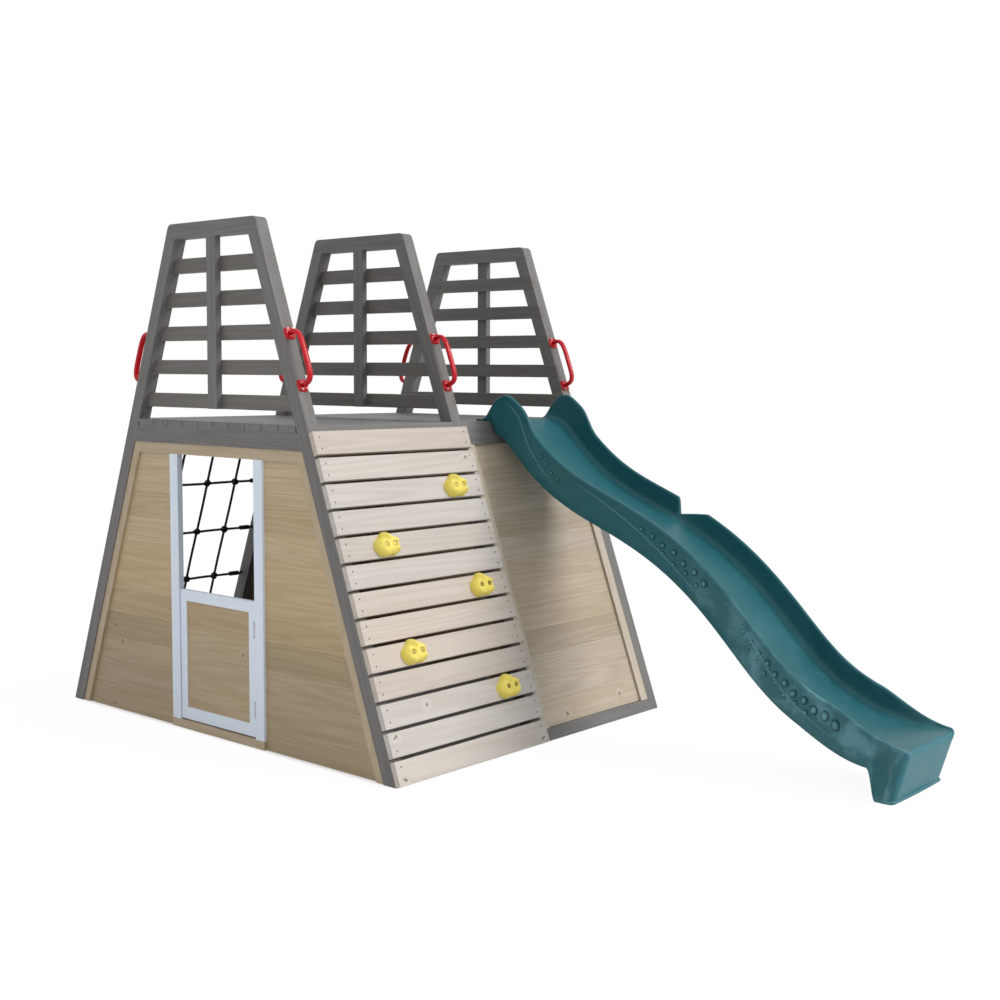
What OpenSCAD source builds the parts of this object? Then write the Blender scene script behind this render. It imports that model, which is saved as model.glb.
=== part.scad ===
// Wooden climbing frame: three trapezoid frames carry a deck with guards. Below the deck is a den with a half
// door, a climbing wall and a rope net, and a moulded slide runs down from the front edge of the deck.
// X runs along the front with the door wall at -X, -Y is the front, Z is up, and the ground is z = 0.

/* [Frames] */
// Height of the frames
total_height = 1945; // [1850:5:2050]
// Depth of a frame at the ground, outside to outside
base_depth = 1990; // [1850:5:2150]
// Depth of a frame at the top, outside to outside
top_depth = 530; // [480:5:600]
// Distance between neighbouring frames, centre to centre
frame_spacing = 713; // [660:1:780]
// Thickness of the frames along the front
leg_thickness = 50; // [44:1:58]
// Width of a leg, square to its length
leg_width = 58; // [50:1:66]
// Height of a top rail
rail_height = 57; // [48:1:66]
// Radius of a top rail's upper corners
rail_round = 26; // [10:1:40]

/* [Guards] */
// Slats in each guard
guard_slats = 5; // [3:1:5]
// Height of a guard slat
guard_slat_height = 55; // [45:1:60]
// Open space between the deck and the lowest guard slat
guard_clearance = 48; // [40:1:60]
// Width of the post in the middle of a guard
guard_post_width = 54; // [40:1:70]

/* [Deck] */
// Height of the top of the deck
deck_height = 1200; // [1180:1:1210]
// Thickness of the deck planks
plank_thickness = 25; // [20:1:30]
// Planks across the deck
plank_count = 10; // [8:1:12]
// Space between deck planks
plank_space = 4; // [2:0.5:8]
// Height of the beams under the deck
beam_height = 65; // [50:1:80]
// Depth of the beams between the frames
beam_depth = 45; // [38:1:52]
// Height of the beams on the ground
ground_beam_height = 45; // [36:1:60]

/* [Walls] */
// Rows of boards in each upright wall
wall_rows = 11; // [8:1:13]
// Rows of boards in each sloping wall
slope_rows = 12; // [8:1:14]
// Thickness of the wall boards
board_thickness = 16; // [12:1:18]
// Width of the joint between boards
board_joint = 0.8; // [0.4:0.1:0.9]
// Width of the trim strips
trim_width = 41; // [30:1:50]
// Thickness of the trim strips
trim_thickness = 10; // [6:1:12]
// How far the trim lies behind the outer face of a frame
trim_recess = 4; // [2:0.5:8]

/* [Door] */
// Clear width between the door posts
door_width = 470; // [440:1:490]
// Width of a door post
door_post_width = 51; // [44:1:60]
// Depth of a door post
door_post_depth = 22; // [21:1:26]
// Height of the sill under the door posts
sill_height = 33; // [24:1:45]
// Height of the top of the half door
door_top = 545; // [500:1:600]
// Gap under the half door
door_bottom_gap = 6; // [4:0.5:10]
// Gap at each upright side of the half door
door_side_gap = 3.4; // [3.2:0.1:5]
// Thickness of the door frame
door_thickness = 18; // [16:1:20]
// How far the door lies behind the outer face of a frame
door_recess = 8.5; // [8.5:0.5:10]
// Width of a door stile
stile_width = 37; // [30:1:45]
// Height of the top rail of the door
door_rail_height = 42; // [34:1:50]
// Height of the bottom rail of the door
door_foot_height = 47; // [40:1:60]
// Boards in the door panel
door_boards = 4; // [3:1:6]
// Thickness of the door panel
door_panel_thickness = 10; // [8:1:12]

/* [Hinges] */
// Height of a hinge
hinge_height = 64; // [50:1:76]
// Height of the middle of the lower hinge
hinge_low = 142; // [120:1:160]
// Height of the middle of the upper hinge
hinge_high = 442; // [420:1:460]
// Diameter of a hinge knuckle
knuckle_diameter = 7.6; // [7:0.1:8]
// Diameter of a hinge pin
pin_diameter = 4; // [3:0.1:4.4]
// Radial clearance of a hinge pin
pin_clearance = 0.05; // [0.02:0.01:0.1]
// Thickness of a hinge leaf
leaf_thickness = 1.4; // [1:0.1:1.5]
// Width of a hinge leaf, from the pin
leaf_width = 17; // [14:1:18]

/* [Climbing wall] */
// Slats on the climbing wall
climb_slats = 13; // [11:1:14]
// Thickness of a climbing slat
climb_slat_thickness = 22; // [16:1:28]
// Space between climbing slats
climb_slat_space = 12; // [8:1:18]
// Place of the holds on the right, from the middle of a slat
hold_right = 230; // [180:1:270]
// Place of the holds on the left, from the middle of a slat
hold_left = 182; // [140:1:230]
// Height of a hold above the slat
hold_height = 46; // [40:1:52]
// Distance between the two bolts of a hold
hold_bolt_space = 40; // [34:1:44]
// Diameter of a hold bolt
hold_bolt_diameter = 8; // [6:0.5:8]

/* [Net] */
// Diameter of the rope
rope_diameter = 11.5; // [8:0.5:13]
// Diameter of a knot
knot_diameter = 32; // [24:1:36]
// Upright ropes in the net
net_uprights = 4; // [3:1:4]
// Cross ropes in the net
net_crossings = 4; // [3:1:4]
// Distance from the middle frame to the first upright rope
net_margin = 148; // [120:1:160]
// Distance from the left frame to the last upright rope
net_end_margin = 87; // [84:1:100]
// Height from the first cross rope to the deck beam
net_top_drop = 200; // [170:1:230]
// Height from the ground beam to the last cross rope
net_foot_rise = 220; // [180:1:240]
// Depth of the rope holes
rope_hole_depth = 14; // [10:1:18]
// Length of a ferrule
ferrule_length = 44; // [30:1:48]
// Diameter of a ferrule
ferrule_diameter = 20; // [17:0.5:24]

/* [Handles] */
// Height of the middle of the handles above the deck
handle_rise = 232; // [205:1:250]
// Distance between the middles of the two feet of a handle
handle_span = 196; // [180:1:210]
// Reach of a handle away from its leg
handle_reach = 57; // [50:1:66]
// Width of a handle's bar
handle_bar_width = 28; // [22:1:32]
// Thickness of a handle's bar
handle_bar_thickness = 17; // [12:1:18]
// Thickness of a handle's feet
handle_foot_thickness = 9; // [6:0.5:10]
// Diameter of the screws
screw_diameter = 4.5; // [3.5:0.1:5]
// Length of a screw in the wood
screw_bite = 18; // [12:1:20]

/* [Slide] */
// Width of the slide over its rims
slide_width = 380; // [340:1:430]
// Width of the rolled rims
slide_rim_width = 16; // [12:1:22]
// Height of the rolled rims
slide_rim_height = 14; // [10:1:18]
// Height of the rims above the bed
slide_wall_height = 82; // [60:1:90]
// Height of the rims above the bed where a child sits down
slide_peak_height = 115; // [105:1:135]
// Depth of the skirts below the bed
slide_skirt_depth = 55; // [40:1:65]
// Thickness of the moulding
slide_thickness = 6; // [4:0.5:8]
// Height of the bed at the front of the foot
slide_foot_height = 185; // [160:1:210]
// How far the slide lies on the deck
slide_overlap = 52; // [44:1:56]
// Length of the step in the rim of the far wall
slide_step_length = 112; // [80:1:140]
// Tilt of the front of the foot
slide_foot_tilt = 17; // [8:1:24]

/* [Hidden] */
$fn = 48;

// Colours of the finishes
grey_wood = [0.40, 0.39, 0.38];
natural_wood = [0.78, 0.66, 0.48];
pale_wood = [0.86, 0.83, 0.78];
white_paint = [0.86, 0.89, 0.92];
steel = [0.62, 0.63, 0.65];
yellow_plastic = [0.96, 0.80, 0.20];
red_plastic = [0.80, 0.10, 0.16];
black_rope = [0.10, 0.10, 0.10];
green_plastic = [0.16, 0.40, 0.40];

// Small clearances between pieces that are put together
joint_fit = 0.2;
rope_fit = 0.2;
bolt_fit = 0.2;
deck_fit = 1;
// Spare length of a cutter past the face that it cuts
cut_over = 1;

// Lean of the legs, and the faces of a frame at a height
lean = (base_depth - top_depth) / (2 * total_height);
lean_angle = atan(lean);
leg_span = leg_width / cos(lean_angle);
function outer(z) = base_depth / 2 - lean * z;
function inner(z) = outer(z) - leg_span;

// Places along the front
left_x = -frame_spacing;
right_x = frame_spacing;
half_leg = leg_thickness / 2;
half_width = frame_spacing + half_leg;
bay_length = frame_spacing - leg_thickness;
left_bay_x = left_x + half_leg;
right_bay_x = half_leg;

// Heights
rail_bottom = total_height - rail_height;
plank_bottom = deck_height - plank_thickness;
beam_bottom = plank_bottom - beam_height;
trim_bottom = beam_bottom - trim_width;
guard_pitch = (rail_bottom - deck_height - guard_clearance) / guard_slats;
function guard_slat_bottom(i) = rail_bottom - (i + 1) * guard_pitch;
guard_bottom = guard_slat_bottom(guard_slats - 1);

// Places across the left wall
left_face_x = -half_width;
board_x = left_face_x + trim_recess + trim_thickness;
door_half = door_width / 2;
post_outer = door_half + door_post_width;
door_face_x = left_face_x + door_recess;
door_bottom = sill_height + door_bottom_gap;
hinge_x = door_face_x - knuckle_diameter / 2 - joint_fit;
hinge_y = -door_half + door_side_gap / 2;
door_hinge_edge = -door_half + door_side_gap;
door_closing_edge = door_half - door_side_gap;
hinge_heights = [hinge_low, hinge_high];
knuckle_count = 3;
knuckle_length = hinge_height / knuckle_count;

// Climbing wall, with places measured up the slope
climb_length = plank_bottom / cos(lean_angle);
climb_slat_width = (climb_length - (climb_slats - 1) * climb_slat_space) / climb_slats;
climb_pitch = climb_slat_width + climb_slat_space;
climb_middle_x = (left_face_x + half_leg) / 2;
function climb_slat_bottom(i) = climb_length - climb_slat_width - i * climb_pitch;
// The holds sit on every second slat, counted from the top, and change sides
hold_count = 5;
function hold_row(k) = 2 * (k + 1);
function hold_offset(k) = k % 2 == 0 ? hold_right : -hold_left;
hold_lobe = 29;
hold_lobe_rise = 32;
hold_sides = 18;
// Outline of a lobe, as shares of its radius and height
hold_lobe_outline = [[0, 0], [0.97, 0], [1, 0.12], [0.97, 0.36], [0.88, 0.6], [0.72, 0.81], [0.46, 0.95], [0, 1]];
bolt_head_diameter = 15;
bolt_head_height = 7;
bolt_recess = 22;
bolt_tail = 6;

// Net, with its ropes a little inside the outer faces of the back legs
net_depth = 15;
net_upright_pitch = (bay_length - net_margin - net_end_margin) / (net_uprights - 1);
net_cross_pitch = (beam_bottom - net_top_drop - ground_beam_height - net_foot_rise) / (net_crossings - 1);
function net_upright_x(i) = -half_leg - net_margin - i * net_upright_pitch;
function net_cross_z(i) = beam_bottom - net_top_drop - i * net_cross_pitch;
function net_y(z) = outer(z) - net_depth / cos(lean_angle);
ferrule_gap = 20;

// Handles, on a plane that lies on the outer face of a leg
handle_height = deck_height + handle_rise;
foot_width = 46;
foot_round = 15;
foot_screw_x = 11;
foot_screw_place = handle_span / 2 + 15.5;
screw_head_diameter = 9;
screw_head_height = 3;
bow_power = 0.6;
bow_lean = 0.07;
bar_rings = 24;
bar_sides = 12;

// The slide's bed starts flat on the deck and then dips in two waves: each pair is a share of the way from
// the deck's edge to the foot, and the bed's slope in degrees there
slide_x = frame_spacing / 2;
slide_start_y = -outer(deck_height) + slide_overlap;
slide_wave = [[0, 0], [0.003, 0], [0.0716, 44.5], [0.31, 21], [0.669, 45], [1, 0]];
slide_step_share = 0.3535;
// The bed's length past the deck follows from the height that it has to fall
fall_steps = 200;
function wave_fall(i = 0) = i == fall_steps ? 0
    : sin(along(slide_wave, (i + 0.5) / fall_steps)) / fall_steps + wave_fall(i + 1);
slide_run = (deck_height + slide_thickness - slide_foot_height) / wave_fall();
slide_length = slide_overlap + slide_run;
slide_step_at = slide_overlap + slide_step_share * slide_run;
slide_edge_height = 2;
slide_foot_length = 150;
slide_foot_flare = 30;
slide_foot_rise = 44;
slide_back_tilt = 4;
slide_top_length = 350;
slide_top_rings = 25;
slide_upper_rings = 16;
slide_lower_rings = 44;
slide_step_run = 29;
slide_wall_lean = 6;
slide_wall_foot = 28;
slide_rim_lip = 3;
slide_rim_round = 5;
// The outer walls turn in below a crease, and the sides of the foot are hollowed
slide_crease_inset = 5;
slide_crease_rise = 30;
slide_skirt_inset = 15;
slide_foot_inset = 8;
slide_foot_hollow = 15;
slide_hollow_end = 44;
// Places of the bends in the rims and skirts, from the edge of the deck or back from the end of the foot
peak_start = 26;
peak_from = 82;
peak_to = 116;
peak_dip = 4;
peak_end = 262;
rim_fade = 330;
skirt_from = 8;
skirt_to = 52;
flare_from = 420;
flare_to = 150;
// The front of the foot is rounded over the last part of the length
slide_front_round = 30;
slide_round_steps = 5;
slide_straight = slide_length - slide_front_round;
// Distances along the bed at which the slide's section is drawn
slide_at = concat(
    [for (i = [0:slide_top_rings - 1]) slide_top_length * i / slide_top_rings],
    [for (i = [0:slide_upper_rings]) slide_top_length + (slide_step_at - slide_top_length) * i / slide_upper_rings],
    [for (i = [0:slide_lower_rings]) let (first = slide_step_at + slide_step_run)
        first + (slide_straight - first) * i / slide_lower_rings],
    [for (i = [1:slide_round_steps]) slide_straight + slide_front_round * sin(90 * i / slide_round_steps)]
);
slide_last = len(slide_at) - 1;
// How much the section shrinks over the rounded front
function front_inset(s) = let (d = max(0, s - slide_straight))
    slide_front_round - sqrt(max(0, slide_front_round * slide_front_round - d * d));

// Smooth value at t of a list of pairs [t, value]
function ease(t) = t * t * (3 - 2 * t);
function between(a, b, t) = a[1] + (b[1] - a[1]) * ease(max(0, min(1, (t - a[0]) / (b[0] - a[0]))));
function along(pairs, t, i = 0) =
    i >= len(pairs) - 2 || t < pairs[i + 1][0] ? between(pairs[i], pairs[i + 1], t) : along(pairs, t, i + 1);

// Points of the slide's bed at each section, as [y, z]
function slide_slope(s) = along(slide_wave, max(0, s - slide_overlap) / slide_run);
function bed_step(i) = let (a = slide_slope((slide_at[i - 1] + slide_at[i]) / 2))
    [-cos(a), -sin(a)] * (slide_at[i] - slide_at[i - 1]);
slide_bed = [
    for (i = 0, p = [slide_start_y, deck_height + slide_thickness]; i <= slide_last;
         i = i + 1, p = i <= slide_last ? p + bed_step(i) : p) p
];

// Height of the rims above the bed: low on the deck, a peak to hold, even walls, and flush at the foot
slide_rim_curve = [
    [0, slide_edge_height], [slide_overlap - peak_start, slide_edge_height],
    [slide_overlap + peak_from, slide_peak_height], [slide_overlap + peak_to, slide_peak_height - peak_dip],
    [slide_overlap + peak_end, slide_wall_height], [slide_length - rim_fade, slide_wall_height],
    [slide_length, slide_edge_height * 3]
];
// The far wall's rim drops in a step and climbs back evenly
function step_share(s) = s <= slide_step_at ? 0
    : max(0, 1 - (s - slide_step_at - slide_step_run) / slide_step_length);
slide_step_drop = slide_wall_height * 0.72;
function rim_above(s, side) = along(slide_rim_curve, s)
    - (side > 0 ? slide_step_drop * step_share(s) : 0);
// Depth of the skirts below the bed, clear of the deck's edge, and down to the ground at the foot
slide_skirt_curve = [
    [0, slide_thickness], [slide_overlap + skirt_from, slide_thickness],
    [slide_overlap + skirt_to, slide_skirt_depth], [slide_length - flare_from, slide_skirt_depth],
    [slide_length - flare_to, slide_skirt_depth + slide_foot_flare]
];
foot_start = slide_length - slide_foot_length;
function foot_share(s) = ease(max(0, min(1, (s - foot_start) / slide_foot_rise)));
// Tilt of a section: square to the bed, then nearly upright at the back of the foot and tipped at its front
function foot_tilt_at(s) = let (q = max(0, min(1, (s - foot_start - slide_foot_rise)
        / (slide_straight - foot_start - slide_foot_rise))))
    slide_back_tilt + (slide_foot_tilt - slide_back_tilt) * q;
function ring_tilt(i) = let (s = slide_at[i], t = foot_share(s)) slide_slope(s) * (1 - t) + foot_tilt_at(s) * t;
function skirt_below(i) = let (s = slide_at[i], t = foot_share(s), whole = slide_bed[i][1] / cos(ring_tilt(i)))
    along(slide_skirt_curve, s) * (1 - t) + whole * t;

// How much of the hollow in the foot's side a section has: none again at the rounded front
function hollow_share(s) = foot_share(s) * (1 - ease(max(0, min(1, 1 - (slide_straight - s) / slide_hollow_end))));

// One half of a section of the slide, as [x, height above the bed], from the middle of the bed over the rim
// and under the bed back to the middle
function half_ring(i, side) = let (
        s = slide_at[i],
        sunk = front_inset(s),
        t = foot_share(s),
        rim = rim_above(s, side) - sunk,
        bed = -sunk,
        skirt = skirt_below(i),
        under = s > slide_straight - 1 ? skirt : slide_thickness,
        edge = slide_width / 2 - sunk,
        wall = edge - slide_rim_width,
        foot = wall - slide_wall_lean,
        outside = edge - slide_rim_lip,
        skirt_x = edge - slide_skirt_inset * (1 - t) - slide_foot_inset * t,
        under_x = min(foot, skirt_x - slide_thickness) - slide_rim_round / 2,
        lip = max(rim - slide_rim_height, bed - slide_thickness),
        corner = bed + min(slide_wall_foot / 4, rim - bed),
        crease_x = edge - slide_crease_inset - slide_foot_hollow * hollow_share(s),
        crease = min(lip, slide_crease_rise - skirt) * (1 - t) + (lip - skirt) / 2 * t)
    [
        [0, bed], [foot - slide_wall_foot, bed], [foot - slide_wall_foot / 4, corner],
        [wall, max(rim - slide_rim_round * 0.4, corner)], [wall + slide_rim_round * 0.8, rim],
        [edge - slide_rim_round, rim], [edge - slide_rim_round * 0.3, max(rim - slide_rim_round * 0.3, lip)],
        [edge, max(rim - slide_rim_round, lip)], [edge, lip], [outside, lip], [crease_x, crease],
        [skirt_x, -skirt], [skirt_x - slide_thickness, -skirt], [under_x, -under], [0, -under]
    ];
function slide_point(i, p, side) = let (a = ring_tilt(i))
    [slide_x + side * p[0], slide_bed[i][0] - sin(a) * p[1], slide_bed[i][1] + cos(a) * p[1]];
// A whole section: the near half from the bed's middle round to the underside, then the far half back
function slide_ring(i) = let (near = half_ring(i, -1), far = half_ring(i, 1), n = len(far))
    concat([for (p = near) slide_point(i, p, -1)], [for (k = [n - 2:-1:1]) slide_point(i, far[k], 1)]);
slide_points = [for (i = [0:slide_last]) for (p = slide_ring(i)) p];
slide_ring_size = len(slide_points) / (slide_last + 1);

// How far the slide reaches in front, which puts the origin in the middle of the whole object
slide_reach = max([for (p = slide_points) -p[1]]);
frame_y = (slide_reach - base_depth / 2) / 2;

// A closed solid from rings of points that follow one another, with the triangles that close a ring
module swept(points, ring_size, cap) {
    last = len(points) / ring_size - 1;
    sides = [
        for (r = [0:last - 1]) for (k = [0:ring_size - 1])
            let (a = r * ring_size + k, b = r * ring_size + (k + 1) % ring_size)
            for (f = [[a, a + ring_size, b], [b, a + ring_size, b + ring_size]]) f
    ];
    first_cap = cap;
    last_cap = [for (t = cap) [t[0], t[2], t[1]] + last * ring_size * [1, 1, 1]];
    polyhedron(points, concat(sides, first_cap, last_cap), convexity = 6);
}
// Triangles that close a round ring, and a section of the slide from its upper to its lower side
function round_cap(n) = [for (k = [1:n - 2]) [0, k, k + 1]];
function slide_cap(n) = let (h = n / 2) concat(
    [for (k = [0:h / 2 - 1]) for (t = [[k, k + 1, h - 1 - k], [k, h - 1 - k, h - k]]) if (t[1] != t[2]) t],
    [for (k = [0:h / 2 - 1]) for (t = [[h + k, h + k + 1, n - 1 - k], [h + k, n - 1 - k, (n - k) % n]])
        if (t[1] != t[2]) t]
);

// Moves the frames' middle plane to its place
module placed() translate([0, frame_y, 0]) children();

// Carries an outline in Y and Z along the front, from x for a length
module along_front(x, length) {
    translate([x, 0, 0]) rotate([90, 0, 90]) linear_extrude(length) children();
}

// Lies on the outer face of the front (side -1) or back (side 1) legs: X along the front, Y outwards, Z up the slope
module on_slope(side) {
    mirror([0, side < 0 ? 1 : 0, 0]) translate([0, base_depth / 2, 0]) rotate([lean_angle, 0, 0]) children();
}

// Outline between two heights and two distances from the middle plane that follow the lean
module leaning(side, z0, z1, out0, out1) {
    polygon([
        [side * (out0 - lean * z0), z0], [side * (out1 - lean * z0), z0],
        [side * (out1 - lean * z1), z1], [side * (out0 - lean * z1), z1]
    ]);
}

// Distances of the leg faces from the middle plane at the ground
leg_out = base_depth / 2;
leg_in = leg_out - leg_span;

// Outline of a whole frame between two heights, out to a distance from the middle at the ground
module frame_band(z0, z1, out) {
    polygon([
        [-(out - lean * z0), z0], [out - lean * z0, z0], [out - lean * z1, z1], [-(out - lean * z1), z1]
    ]);
}

// The two screws of a foot of a handle, as cutters or as solids
module foot_screws(x, side, place, diameter, from, to) {
    for (dx = [-foot_screw_x, foot_screw_x])
        on_slope(side) translate([x + dx, 0, handle_height / cos(lean_angle) + place])
            rotate([-90, 0, 0]) translate([0, 0, from]) cylinder(h = to - from, d = diameter);
}
module screw_holes(x, side) {
    for (place = [-foot_screw_place, foot_screw_place])
        foot_screws(x, side, place, screw_diameter, -screw_bite, cut_over);
}

// A leg, notched for the guard slats on one half (half 1 is +X), and drilled for its handle
module leg(x, side, half) {
    difference() {
        along_front(x - half_leg, leg_thickness) leaning(side, 0, rail_bottom, leg_out, leg_in);
        for (i = [0:guard_slats - 1])
            along_front(half > 0 ? x : x - half_leg - cut_over, half_leg + cut_over)
                leaning(side, guard_slat_bottom(i) - joint_fit, guard_slat_bottom(i) + guard_slat_height + joint_fit,
                    leg_out + cut_over, leg_in - cut_over);
        screw_holes(x, side);
        rope_holes(side);
    }
}

// A top rail, with its upper corners rounded
module top_rail(x) {
    turn = (90 - lean_angle) / 2;
    reach = rail_round * tan(turn);
    corner_y = outer(total_height) - reach;
    along_front(x - half_leg, leg_thickness) difference() {
        frame_band(rail_bottom, total_height, leg_out);
        for (side = [-1, 1]) difference() {
            polygon([
                [side * corner_y, total_height + cut_over],
                [side * (outer(total_height) + cut_over), total_height + cut_over],
                [side * (outer(total_height - reach) + cut_over), total_height - reach * cos(lean_angle)],
                [side * (outer(total_height - reach * cos(lean_angle))), total_height - reach * cos(lean_angle)],
                [side * corner_y, total_height - rail_round]
            ]);
            translate([side * corner_y, total_height - rail_round]) circle(rail_round);
        }
    }
}

// The slats of a guard, which end flush with the legs' outer faces
module guard_slat_set(x, half) {
    difference() {
        for (i = [0:guard_slats - 1])
            along_front(half > 0 ? x : x - half_leg, half_leg)
                frame_band(guard_slat_bottom(i), guard_slat_bottom(i) + guard_slat_height, leg_out);
        for (side = [-1, 1]) screw_holes(x, side);
    }
}

// The post in the middle of a guard, on the other half from the slats
module guard_post(x, half) {
    along_front(half > 0 ? x - half_leg : x, half_leg)
        translate([-guard_post_width / 2, guard_bottom]) square([guard_post_width, rail_bottom - guard_bottom]);
}

module left_front_leg() { color(grey_wood) placed() leg(left_x, -1, 1); }
module left_back_leg() { color(grey_wood) placed() leg(left_x, 1, 1); }
module left_top_rail() { color(grey_wood) placed() top_rail(left_x); }
module left_guard_slats() { color(grey_wood) placed() guard_slat_set(left_x, 1); }
module left_guard_post() { color(grey_wood) placed() guard_post(left_x, 1); }
module middle_front_leg() { color(grey_wood) placed() leg(0, -1, 1); }
module middle_back_leg() { color(grey_wood) placed() leg(0, 1, 1); }
module middle_top_rail() { color(grey_wood) placed() top_rail(0); }
module middle_guard_slats() { color(grey_wood) placed() guard_slat_set(0, 1); }
module middle_guard_post() { color(grey_wood) placed() guard_post(0, 1); }
module right_front_leg() { color(grey_wood) placed() leg(right_x, -1, -1); }
module right_back_leg() { color(grey_wood) placed() leg(right_x, 1, -1); }
module right_top_rail() { color(grey_wood) placed() top_rail(right_x); }
module right_guard_slats() { color(grey_wood) placed() guard_slat_set(right_x, -1); }
module right_guard_post() { color(grey_wood) placed() guard_post(right_x, -1); }

// Deck: a tie beam in each frame, beams between the frames, planks, and short planks between the legs
module tie_beam(x) {
    along_front(x - half_leg, leg_thickness) frame_band(beam_bottom, plank_bottom, leg_in);
}
module bay_beam(x, side, z0, z1) {
    along_front(x, bay_length) leaning(side, z0, z1, leg_out, leg_out - beam_depth);
}
deck_half = inner(deck_height) - deck_fit;
plank_width = (2 * deck_half - (plank_count - 1) * plank_space) / plank_count;

module left_tie_beam() { color(grey_wood) placed() tie_beam(left_x); }
module middle_tie_beam() { color(grey_wood) placed() tie_beam(0); }
module right_tie_beam() { color(grey_wood) placed() tie_beam(right_x); }
module front_deck_beams() {
    color(grey_wood) placed() for (x = [left_bay_x, right_bay_x]) bay_beam(x, -1, beam_bottom, plank_bottom);
}
module back_deck_beams() {
    color(grey_wood) placed() difference() {
        for (x = [left_bay_x, right_bay_x]) bay_beam(x, 1, beam_bottom, plank_bottom);
        rope_holes(1);
    }
}
module deck_planks() {
    color(grey_wood) placed() for (i = [0:plank_count - 1])
        translate([-half_width, -deck_half + i * (plank_width + plank_space), plank_bottom])
            cube([2 * half_width, plank_width, plank_thickness]);
}
module deck_edge_planks() {
    inside = deck_half + plank_space;
    color(grey_wood) placed() for (x = [left_bay_x, right_bay_x], side = [-1, 1])
        along_front(x, bay_length) polygon([
            [side * inside, plank_bottom], [side * outer(plank_bottom), plank_bottom],
            [side * outer(deck_height), deck_height], [side * inside, deck_height]
        ]);
}
module left_ground_beam() {
    color(grey_wood) placed() difference() {
        bay_beam(left_bay_x, 1, 0, ground_beam_height);
        rope_holes(1);
    }
}
module front_ground_beam() { color(grey_wood) placed() bay_beam(right_bay_x, -1, 0, ground_beam_height); }
module back_ground_beam() { color(grey_wood) placed() bay_beam(right_bay_x, 1, 0, ground_beam_height); }

// Upright walls: rows of boards between the legs, with trim strips over their ends
wall_pitch = beam_bottom / wall_rows;
function row_top(i) = (i + 1) * wall_pitch - (i < wall_rows - 1 ? board_joint : 0);
module door_side_boards(side) {
    along_front(board_x, board_thickness) for (i = [0:wall_rows - 1]) polygon([
        [side * inner(i * wall_pitch), i * wall_pitch], [side * post_outer, i * wall_pitch],
        [side * post_outer, row_top(i)], [side * inner(row_top(i)), row_top(i)]
    ]);
}
module side_trim(x, side) {
    along_front(x, trim_thickness) leaning(side, 0, beam_bottom, leg_in, leg_in - trim_width);
}
module top_trim(x) {
    along_front(x, trim_thickness) frame_band(trim_bottom, beam_bottom, leg_in - trim_width);
}
trim_x = left_face_x + trim_recess;

module left_wall_front_boards() { color(natural_wood) placed() door_side_boards(-1); }
module left_wall_back_boards() { color(natural_wood) placed() door_side_boards(1); }
module left_wall_sill() {
    color(natural_wood) placed() translate([trim_x, -post_outer, 0])
        cube([board_x + board_thickness - trim_x, 2 * post_outer, sill_height]);
}
module left_wall_front_trim() { color(natural_wood) placed() side_trim(trim_x, -1); }
module left_wall_back_trim() { color(natural_wood) placed() side_trim(trim_x, 1); }
module left_wall_top_trim() { color(natural_wood) placed() top_trim(trim_x); }
module right_wall_boards() {
    color(natural_wood) placed() along_front(-board_x - board_thickness, board_thickness)
        for (i = [0:wall_rows - 1]) frame_band(i * wall_pitch, row_top(i), leg_in);
}
module right_wall_trim() {
    color(natural_wood) placed() {
        for (side = [-1, 1]) side_trim(-trim_x - trim_thickness, side);
        top_trim(-trim_x - trim_thickness);
    }
}

// Sloping walls of the right bay, from the ground beam up to the deck beam
slope_foot = ground_beam_height / cos(lean_angle);
slope_head = beam_bottom / cos(lean_angle);
slope_pitch = (slope_head - slope_foot) / slope_rows;
slope_board_depth = trim_thickness + board_thickness;
// The boards' ends are cut level, to meet the beams
module level_band() {
    along_front(right_bay_x, bay_length)
        translate([-base_depth, ground_beam_height]) square([2 * base_depth, beam_bottom - ground_beam_height]);
}
module slope_boards(side) {
    intersection() {
        on_slope(side) for (i = [-1:slope_rows])
            translate([right_bay_x, -slope_board_depth, slope_foot + i * slope_pitch])
                cube([bay_length, board_thickness, slope_pitch - board_joint]);
        level_band();
    }
}
module slope_trim(side) {
    intersection() {
        on_slope(side) {
            for (x = [right_bay_x, right_bay_x + bay_length - trim_width])
                translate([x, -trim_thickness, 0]) cube([trim_width, trim_thickness, slope_head * 2]);
        }
        level_band();
    }
}
module front_wall_boards() { color(natural_wood) placed() slope_boards(-1); }
module front_wall_trim() { color(natural_wood) placed() slope_trim(-1); }
module back_wall_boards() { color(natural_wood) placed() slope_boards(1); }
module back_wall_trim() { color(natural_wood) placed() slope_trim(1); }

// Door posts, flush with the trim, which stand on the sill and reach the top trim
module door_post(side) {
    difference() {
        translate([trim_x, side > 0 ? door_half : -post_outer, sill_height])
            cube([door_post_depth, door_post_width, trim_bottom - sill_height]);
        for (z = hinge_heights) knuckle_room(z);
    }
}
// Room for a knuckle in the edge of its post
module knuckle_room(z) {
    room = knuckle_diameter / 2 + joint_fit;
    translate([left_face_x - cut_over, hinge_y - room, z - hinge_height / 2 - joint_fit])
        cube([hinge_x - left_face_x + cut_over + room, 2 * room, hinge_height + 2 * joint_fit]);
}
module hinge_door_post() { color(white_paint) placed() door_post(-1); }
module closing_door_post() { color(white_paint) placed() door_post(1); }

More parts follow.
